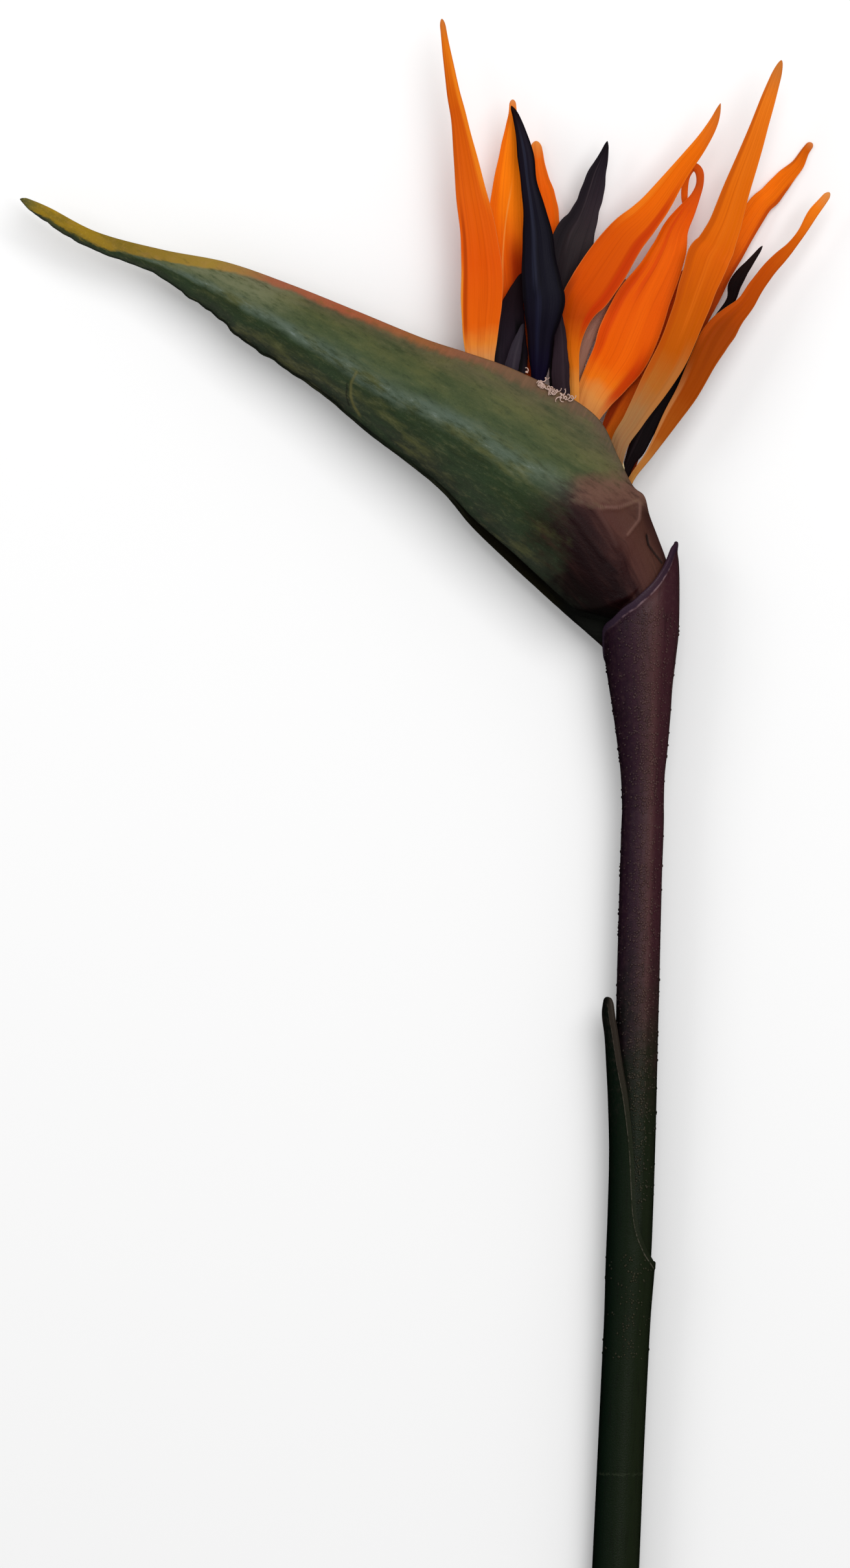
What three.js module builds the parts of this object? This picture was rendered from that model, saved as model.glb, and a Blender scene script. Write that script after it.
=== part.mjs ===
// A cut bird of paradise flower, lying on its side.
// X runs to the right, Y along the stalk towards the bloom, Z up from the surface. Millimetres.
// The origin is the middle of the foot of the box round the whole flower.
// The bloom's own heights, called level here, are counted from its mid-plane.

import * as THREE from 'three';
import { LoftGeometry } from 'three/addons/geometries/LoftGeometry.js';

const HEAD_HEIGHT = 11.5; // mid-plane of the bloom above the surface
const CUT_Y = -220.2; // cut end of the stalk
const NECK_Y = 40; // from here up the stalk's axis lies in the bloom's mid-plane
const CUT_AXIS_HEIGHT = 6.3; // the cut end lies on the surface, so this is its radius

const BLADE_EDGE = 0.6; // thickness of sepals and petals at their edges
const SEPAL_BODY = 0.8; // and along their middle
const TONGUE_BODY = 1.2; // the dark petals are fleshier
const FULL_HALF = 3; // half width from which a blade's ridge and waves have their full height
const RIDGE_REACH = 0.6; // a ridge runs out at this share of the half width to each side

const SHEATH_WALL = 0.75;
const COLLAR_WALL = 0.9;
const COLLAR_FOOT_Y = 12.8;
const COLLAR_STEP = 0.45; // gap between the collar's foot and the ledge it stands on
const SHEATH_SIDES = 36;
const SHEATH_ROWS = 14;
const COLLAR_ROWS = 12;
const ROW_CROWDING = 1.5; // rows of a wrap crowd towards its mouth

const ORANGE = { color: 0xe8700a, roughness: 0.55, metalness: 0 };
const NAVY = { color: 0x16141f, roughness: 0.45, metalness: 0 };
const DUSK = { color: 0x3a2c30, roughness: 0.55, metalness: 0 };
const CREAM = { color: 0xc9a283, roughness: 0.6, metalness: 0 };
const LEAF = { color: 0x46502d, roughness: 0.5, metalness: 0 };
const PLUM = { color: 0x3a2028, roughness: 0.5, metalness: 0 };
const STALK = { color: 0x2c2220, roughness: 0.5, metalness: 0 };
const MOSS = { color: 0x18201a, roughness: 0.5, metalness: 0 };
const PULP = { color: 0xb9b48c, roughness: 0.6, metalness: 0 };

// Values at t in a table of stations [t, a, b, ...], passing through each station without a corner.
function follow(stations, t) {
  const last = stations.length - 1;
  let i = 0;
  while (i < last - 1 && t > stations[i + 1][0]) i++;
  const [p, q] = [stations[i], stations[i + 1]];
  const [before, after] = [stations[Math.max(i - 1, 0)], stations[Math.min(i + 2, last)]];
  const span = q[0] - p[0];
  const f = THREE.MathUtils.clamp((t - p[0]) / span, 0, 1);
  return p.slice(1).map((_, n) => {
    const start = (q[n + 1] - before[n + 1]) / (q[0] - before[0]) * span;
    const end = (after[n + 1] - p[n + 1]) / (after[0] - p[0]) * span;
    const rise = q[n + 1] - p[n + 1];
    return p[n + 1] + f * (start + f * (3 * rise - 2 * start - end + f * (start + end - 2 * rise)));
  });
}

// Rows spaced evenly in number, not in length, through a list of stations.
function sample(stations, steps) {
  const numbered = stations.map((row, i) => [i, ...row]);
  const last = stations.length - 1;
  return Array.from({ length: steps + 1 }, (_, k) => follow(numbered, (k / steps) * last));
}

// A closed solid between two grids of points with the same rows and columns. Seen from the front,
// rows run away and columns run to the right. A wrapped sheet is a tube.
function sheet(front, back, wrapped = false) {
  const rows = front.length;
  const cols = front[0].length;
  const f = (i, j) => i * cols + (j % cols);
  const b = (i, j) => rows * cols + f(i, j);
  const index = [];
  const quad = (p, q, r, s) => index.push(p, q, r, p, r, s);
  const strips = wrapped ? cols : cols - 1;
  for (let i = 0; i < rows - 1; i++) {
    for (let j = 0; j < strips; j++) {
      quad(f(i, j), f(i, j + 1), f(i + 1, j + 1), f(i + 1, j));
      quad(b(i, j), b(i + 1, j), b(i + 1, j + 1), b(i, j + 1));
    }
    if (!wrapped) {
      quad(f(i, 0), f(i + 1, 0), b(i + 1, 0), b(i, 0));
      quad(f(i + 1, cols - 1), f(i, cols - 1), b(i, cols - 1), b(i + 1, cols - 1));
    }
  }
  for (let j = 0; j < strips; j++) {
    quad(f(0, j + 1), f(0, j), b(0, j), b(0, j + 1));
    quad(f(rows - 1, j), f(rows - 1, j + 1), b(rows - 1, j + 1), b(rows - 1, j));
  }
  const points = [...front.flat(), ...back.flat()];
  const geometry = new THREE.BufferGeometry().setFromPoints(points);
  geometry.setIndex(index);
  geometry.computeVertexNormals();
  return geometry;
}

// Unit vectors along, to the right of and above a run of points, at point k.
function frameAt(centres, k) {
  const from = centres[Math.max(k - 1, 0)];
  const to = centres[Math.min(k + 1, centres.length - 1)];
  const along = to.clone().sub(from).normalize();
  const right = along.clone().cross(new THREE.Vector3(0, 0, 1)).normalize();
  const above = right.clone().cross(along);
  return { along, right, above };
}

function piece(name, geometry, look) {
  const mesh = new THREE.Mesh(geometry, new THREE.MeshStandardMaterial(look));
  mesh.name = name;
  return mesh;
}

// A solid stalk of oval rings through stations [x, y, level, half width, half depth].
function rod(runs, sides) {
  const rows = runs.flatMap(([stations, steps]) => sample(stations, steps));
  const centres = rows.map(([x, y, level]) => new THREE.Vector3(x, y, HEAD_HEIGHT + level));
  const rings = rows.map(([, , , width, depth], k) => {
    const { right, above } = frameAt(centres, k);
    return Array.from({ length: sides }, (_, j) => {
      const turn = (-2 * Math.PI * j) / sides - Math.PI / 2;
      return centres[k].clone()
        .addScaledVector(right, width * Math.cos(turn))
        .addScaledVector(above, depth * Math.sin(turn));
    });
  });
  return new LoftGeometry(rings, { capStart: true, capEnd: true });
}

// A sepal or petal. Its stations are [x, y, level, half width] from root to tip.
// The section is cupped by a share of its half width, carries a ridge of a given height at a place
// between -1 (left edge) and 1, leans to one side by an angle, and waves along its edges.
function blade(shape) {
  const { stations, steps, body, cup = 0, ridge = 0, ridgeAt = 0, lean = 0, wave = 0, waves = 0 } = shape;
  const strips = shape.strips ?? 6;
  const rows = sample(stations, steps);
  const centres = rows.map(([x, y, level]) => new THREE.Vector3(x, y, HEAD_HEIGHT + level));
  const front = [];
  const back = [];
  rows.forEach(([, , , half], k) => {
    const { right, above } = frameAt(centres, k);
    const phase = 2 * Math.PI * waves * (k / steps);
    const fullness = Math.min(1, half / FULL_HALF);
    const section = Array.from({ length: strips + 1 }, (_, j) => {
      const u = (2 * j) / strips - 1;
      const crest = ridge * fullness * Math.max(0, 1 - Math.abs(u - ridgeAt) / RIDGE_REACH);
      const ripple = wave * fullness * u * Math.abs(u) * Math.sin(phase + u);
      const lift = cup * half * u * u + crest + ripple + half * u * Math.sin(lean);
      const middle = centres[k].clone()
        .addScaledVector(right, half * u * Math.cos(lean))
        .addScaledVector(above, lift);
      const thickness = BLADE_EDGE + (body - BLADE_EDGE) * (1 - u * u);
      return [middle, above.clone().multiplyScalar(thickness / 2)];
    });
    front.push(section.map(([middle, half]) => middle.clone().add(half)));
    back.push(section.map(([middle, half]) => middle.clone().sub(half)));
  });
  return sheet(front, back);
}

// Height of the stalk's axis: it climbs from the cut end to the bloom's mid-plane.
function axisHeight(y) {
  const climb = THREE.MathUtils.clamp((y - CUT_Y) / (NECK_Y - CUT_Y), 0, 1);
  return CUT_AXIS_HEIGHT + (HEAD_HEIGHT - CUT_AXIS_HEIGHT) * climb;
}

// A point of a wrap round the stalk: its stations are [y, axis x, half width, half depth].
function wrapPoint(stations, y, turn, inset) {
  const [x, width, depth] = follow(stations, y);
  return new THREE.Vector3(
    x + (width - inset) * Math.cos(turn),
    y,
    axisHeight(y) + (depth - inset) * Math.sin(turn),
  );
}

// A tube round the stalk whose mouth is cut aslant: mouth stations are [angle in degrees, y],
// counted from the right hand over the top.
function wrap(stations, mouth, footY, wall, rows) {
  const grid = (inset) => Array.from({ length: rows + 1 }, (_, i) =>
    Array.from({ length: SHEATH_SIDES }, (_, j) => {
      const angle = 360 - (360 * j) / SHEATH_SIDES;
      const [top] = follow(mouth, angle);
      const share = 1 - (1 - i / rows) ** ROW_CROWDING;
      return wrapPoint(stations, footY + (top - footY) * share, THREE.MathUtils.degToRad(angle), inset);
    }));
  return sheet(grid(0), grid(wall), true);
}

// The flower stalk. Below it is thinner where the lower sheath wraps it, above it steps in where the
// collar stands on it, and its bent head inside the spathe carries the florets.
const STALK_LOWER = [
  [48.5, CUT_Y + 0.3, 5.15], [50.1, -186.3, 5.05], [51.3, -159, 4.95], [52.5, -133.5, 4.95],
  [53.2, -119.9, 5], [54, -105.4, 5.35], [54.9, -77.4, 5.5], [55.6, -46.8, 5.55],
  [55.9, -33.2, 5.6], [56.6, -6, 5.55], [57.2, COLLAR_FOOT_Y - COLLAR_STEP, 5.5],
].map(([x, y, r]) => [x, y, axisHeight(y) - HEAD_HEIGHT, r, r]);
const STALK_HEAD = [
  [57.2, COLLAR_FOOT_Y - COLLAR_STEP + 0.1, 4.25], [57.1, 24.7, 4.35], [56.9, 38.3, 5],
  [56.7, 48, 5.2], [56.6, 62, 5.2], [54.6, 73, 4.9], [49.6, 80.6, 4.2],
  [42.3, 86.7, 3.4], [34.7, 92.7, 2.6], [30.4, 96.1, 1.8],
].map(([x, y, r]) => [x, y, axisHeight(y) - HEAD_HEIGHT, r, r]);

function scape() {
  return rod([[STALK_LOWER, 22], [STALK_HEAD, 20]], 20);
}

// The sheath of the lower stalk. Its mouth runs from a free tip on the left down to the right.
const SHEATH_AXIS = [
  [CUT_Y, 48.5, 6.3, 6.3], [-186.3, 50.1, 6.2, 6.2], [-159, 51.3, 6.1, 6.1], [-133.5, 52.5, 6.1, 6.1],
  [-119.9, 53.2, 6.15, 6.15], [-107, 53.9, 6.5, 6.5], [-92.6, 54.5, 6.55, 6.55], [-77.4, 54.9, 6.6, 6.55],
  [-63.8, 55.2, 7.2, 6.9], [-53.6, 55.5, 8.0, 7.3], [-46.8, 55.6, 8.5, 7.4], [-40.8, 55.7, 9.3, 7.4],
  [-36.7, 55.8, 8.9, 7.2],
];
const SHEATH_MOUTH = [
  [0, -106.4], [24, -106], [60, -101.2], [83, -92.6], [94, -77.4], [111, -63.8], [127, -53.6],
  [148, -46.8], [165, -40], [180, -36.7], [195, -40], [212, -46.8], [233, -53.6], [249, -63.8],
  [266, -77.4], [277, -92.6], [300, -101.2], [336, -106], [360, -106.4],
];

function lowerSheath() {
  return wrap(SHEATH_AXIS, SHEATH_MOUTH, CUT_Y, SHEATH_WALL, SHEATH_ROWS);
}

// The collar, a flared bract that holds the spathe's foot. Its mouth slants from a point on the
// right down to the left, and dips lower behind.
const COLLAR_AXIS = [
  [COLLAR_FOOT_Y, 57.2, 5.5, 5.5], [21.3, 57.15, 5.75, 5.7], [28, 57.15, 6.45, 6.3], [38.3, 56.9, 7.6, 7.3],
  [45, 56.6, 8.35, 7.9], [52, 56.5, 9.3, 8.7], [59.5, 56.6, 10.0, 9.3], [72.3, 56.6, 10.2, 9.5],
  [78, 56.6, 10.0, 9.2], [82.7, 56.6, 9.5, 8.8],
];
const COLLAR_MOUTH = [
  [0, 82.6], [12, 82.2], [32, 80.7], [55, 75.6], [73, 71.7], [88, 69.2], [103, 66.8], [118, 65.1],
  [137, 62.5], [155, 61], [168, 59.3], [180, 53.6], [195, 52.8], [215, 53.2], [240, 57], [270, 63.7],
  [300, 71.4], [330, 78.7], [350, 82.1], [360, 82.6],
];

function collar() {
  return wrap(COLLAR_AXIS, COLLAR_MOUTH, COLLAR_FOOT_Y, COLLAR_WALL, COLLAR_ROWS);
}

const MOUTH_MARGIN = 1.8; // how far above the collar's mouth the spathe's foot is still drawn in
const MOUTH_SPREAD = 14; // how many degrees to each side the mouth's height counts
const MOUTH_RELEASE = 4; // how fast the spathe may swell again above the mouth
const TUCK_CLEARANCE = 0.5; // between the spathe's foot and the collar
const COLLAR_TOP_Y = 82;

// Draws a point of the spathe's foot in until it clears the collar's inside.
function tuck(point, inset) {
  const [x, width, depth] = follow(COLLAR_AXIS, THREE.MathUtils.clamp(point.y, COLLAR_FOOT_Y, COLLAR_TOP_Y));
  const [dx, dz] = [point.x - x, point.z - HEAD_HEIGHT];
  const angle = THREE.MathUtils.radToDeg(Math.atan2(dz, dx));
  const mouthY = Math.max(...[-MOUTH_SPREAD, 0, MOUTH_SPREAD].map((turn) =>
    follow(COLLAR_MOUTH, THREE.MathUtils.euclideanModulo(angle + turn, 360))[0]));
  const above = Math.max(0, point.y - mouthY - MOUTH_MARGIN);
  const room = above * MOUTH_RELEASE - COLLAR_WALL - TUCK_CLEARANCE - inset;
  const reach = Math.hypot(dx / (width + room), dz / (depth + room));
  if (reach <= 1) return point;
  return new THREE.Vector3(x + dx / reach, point.y, HEAD_HEIGHT + dz / reach);
}

// The spathe, a boat-shaped bract seen from its side, with the florets rising out of the slit between
// its two margins. Each station is the near margin's [x, y], the keel's [x, y], how far the near and
// the far flank swell from the mid-plane, half the width of the slit, how high up the flank the dark
// underside reaches as a share, how deep the hollow goes as a share, and the wall.
const SPATHE = [
  [-106.4, 173.7, -106.2, 172.2, 0.85, 0.85, 0.2, 0.02, 0.3, 0.6],
  [-98.8, 170.5, -100.0, 167.3, 1.25, 1.25, 0.2, 0.02, 0.45, 0.7],
  [-86.0, 163.9, -88.1, 160.1, 1.7, 1.7, 0.2, 0.02, 0.5, 0.8],
  [-69.0, 159.3, -72.1, 153.9, 2.4, 2.4, 0.25, 0.02, 0.6, 0.9],
  [-52.0, 155.9, -58.3, 144.7, 3.8, 3.8, 0.3, 0.03, 0.75, 1.0],
  [-35.0, 149.9, -44.4, 133.5, 5.4, 5.8, 0.4, 0.03, 0.85, 1.1],
  [-18.0, 143.0, -29.1, 123.3, 7.0, 7.8, 0.7, 0.03, 0.9, 1.2],
  [-1.0, 136.0, -14.5, 111.2, 8.5, 9.8, 1.6, 0.03, 0.94, 1.2],
  [10.5, 132.1, -4.9, 104.0, 9.6, 11.0, 4.4, 0.03, 0.95, 1.2],
  [21.1, 128.4, 4.6, 96.1, 10.4, 11.6, 5.5, 0.03, 0.95, 1.2],
  [32.1, 123.3, 12.1, 87.2, 11.0, 11.6, 6.2, 0.045, 0.95, 1.2],
  [41.5, 117.8, 21.9, 77.7, 11.4, 11.3, 6.8, 0.06, 0.95, 1.2],
  [46.6, 112.7, 29.6, 70.6, 11.3, 11.0, 6.8, 0.06, 0.95, 1.2],
  [50.3, 104.9, 36.0, 64.8, 10.8, 10.6, 6.5, 0.065, 0.95, 1.2],
  [54.2, 97.2, 41.5, 60.0, 10.2, 10.0, 5.6, 0.075, 0.95, 1.2],
  [57.3, 94.4, 44.0, 57.8, 9.6, 9.4, 4.8, 0.085, 0.95, 1.1],
  [58.7, 89.3, 45.9, 56.1, 9.0, 8.8, 4.0, 0.09, 0.95, 1.1],
  [61.0, 83.3, 47.3, 54.7, 8.5, 8.4, 3.4, 0.09, 0.95, 1.0],
  [63.1, 77.4, 48.5, 53.2, 8.1, 8.1, 3.2, 0.09, 0.94, 1.0],
  [64.6, 70.6, 49.0, 50.2, 7.9, 7.9, 3.0, 0.08, 0.93, 1.0],
  [64.6, 57.8, 49.5, 46.8, 7.3, 7.3, 3.0, 0.06, 0.93, 1.0],
  [63.6, 48.5, 50.0, 44.7, 6.6, 6.6, 3.0, 0.04, 0.93, 0.9],
];
const SPATHE_STEPS = 42;
const BELLY_AT = 0.45; // the flanks swell most at this share of the way from keel to margin
const FAR_MARGIN = 0.95; // the far margin is lower than the near one
const BAND_EDGE = 0.55; // the dark underside's upper edge stands out by this share of the belly
const BAND_ROUND = 0.96; // how fully the flank rounds down to that edge
const BAND_STEP = 0.2; // how much of the flank's swell is left at that edge
const BAND_DIP = 0.12; // the keel lies behind the mid-plane by this share of the belly
const FAR_FLATTEN = 0.8; // the far flank comes back to this near the mid-plane at the keel
const FAR_CURVE = 2.2;
const HOLLOW_EASE = 0.05; // the hollow rounds off within this share of its bottom
const SOLID_KEEL = 0.03; // the keel is solid up to this share above the underside's edge
const NEAR_SHARES = [1, 0.92, 0.8, 0.66, 0.52, 0.38, 0.25, 0.14, 0.06];
const FAR_SHARES = [0.05, 0.13, 0.24, 0.38, 0.54, 0.7, 0.86, 1];

// Level of the near flank at a share of the way from keel to margin.
function nearLevel(share, belly, margin, band) {
  if (share >= BELLY_AT) {
    const f = (share - BELLY_AT) / (1 - BELLY_AT);
    return margin + (belly - margin) * Math.cos((Math.PI / 2) * f);
  }
  const edgeLevel = BAND_EDGE * belly;
  if (share >= band) {
    const f = (BELLY_AT - share) / (BELLY_AT - band);
    return edgeLevel + (belly - edgeLevel) * Math.sqrt(1 - BAND_ROUND * f * f);
  }
  const lowest = -BAND_DIP * belly;
  return lowest + (edgeLevel + BAND_STEP * (belly - edgeLevel) - lowest) * (share / band);
}

// Level of the far flank, which hangs from the keel the other way.
function farLevel(share, belly, margin) {
  if (share >= BELLY_AT) {
    const f = (share - BELLY_AT) / (1 - BELLY_AT);
    return -margin - (belly - margin) * Math.cos((Math.PI / 2) * f);
  }
  const f = 1 - share / BELLY_AT;
  return -belly * (1 - FAR_FLATTEN * f ** FAR_CURVE);
}

function spathePoint(row, side, share, inset) {
  const [rimX, rimY, keelX, keelY, near, far, slit, band, hollow, wall] = row;
  const deep = Math.min(hollow, 1 - band - SOLID_KEEL);
  const place = inset > 0 ? 1 - deep * (1 - share) : share;
  const reach = side > 0 ? place : place * FAR_MARGIN;
  const outer = side > 0
    ? nearLevel(place, near, slit + wall, band)
    : farLevel(place, far, slit + wall);
  let level = outer;
  if (inset > 0 && side === 0) level = 0;
  if (inset > 0 && side > 0) level = Math.max(outer - wall, Math.min(slit, near - wall));
  if (inset > 0 && side < 0) level = Math.min(outer + wall, -Math.min(slit, far - wall));
  if (inset > 0 && side !== 0) level *= Math.min(1, share / HOLLOW_EASE);
  return tuck(new THREE.Vector3(
    keelX + (rimX - keelX) * reach,
    keelY + (rimY - keelY) * reach,
    HEAD_HEIGHT + level,
  ), inset > 0 ? wall : 0);
}

function spathe() {
  const rows = sample(SPATHE, SPATHE_STEPS);
  const grid = (inset) => rows.map((row) => [
    ...NEAR_SHARES.map((share) => spathePoint(row, 1, share, inset)),
    spathePoint(row, 0, 0, inset),
    ...FAR_SHARES.map((share) => spathePoint(row, -1, share, inset)),
  ]);
  return sheet(grid(0), grid(1));
}

// The fleshy foot of each floret, which rises from the stalk's head and carries its sepals and petals.
const FLORET_FEET = {
  floret_foot_1: [
    [29.75, 96.8, 0, 1.6, 1.6], [27.6, 99.8, 0, 2, 2], [25.2, 108, 0, 3.8, 3.4], [25, 113.4, 0, 5.4, 4.4],
  ],
  floret_foot_2: [
    [40, 94.8, 0, 1.8, 1.8], [38.9, 98.2, 0, 2.8, 2.6], [38.6, 100.2, 0.2, 3.8, 3.6],
    [39.1, 103.3, 0.4, 6.2, 4.6],
  ],
  floret_foot_3: [
    [50.3, 87.4, 0.2, 1.7, 2.8], [50.5, 89.7, 0.4, 3.1, 4.8],
  ],
};

function floretFoot(stations) {
  return rod([[stations, 6]], 16);
}

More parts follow.
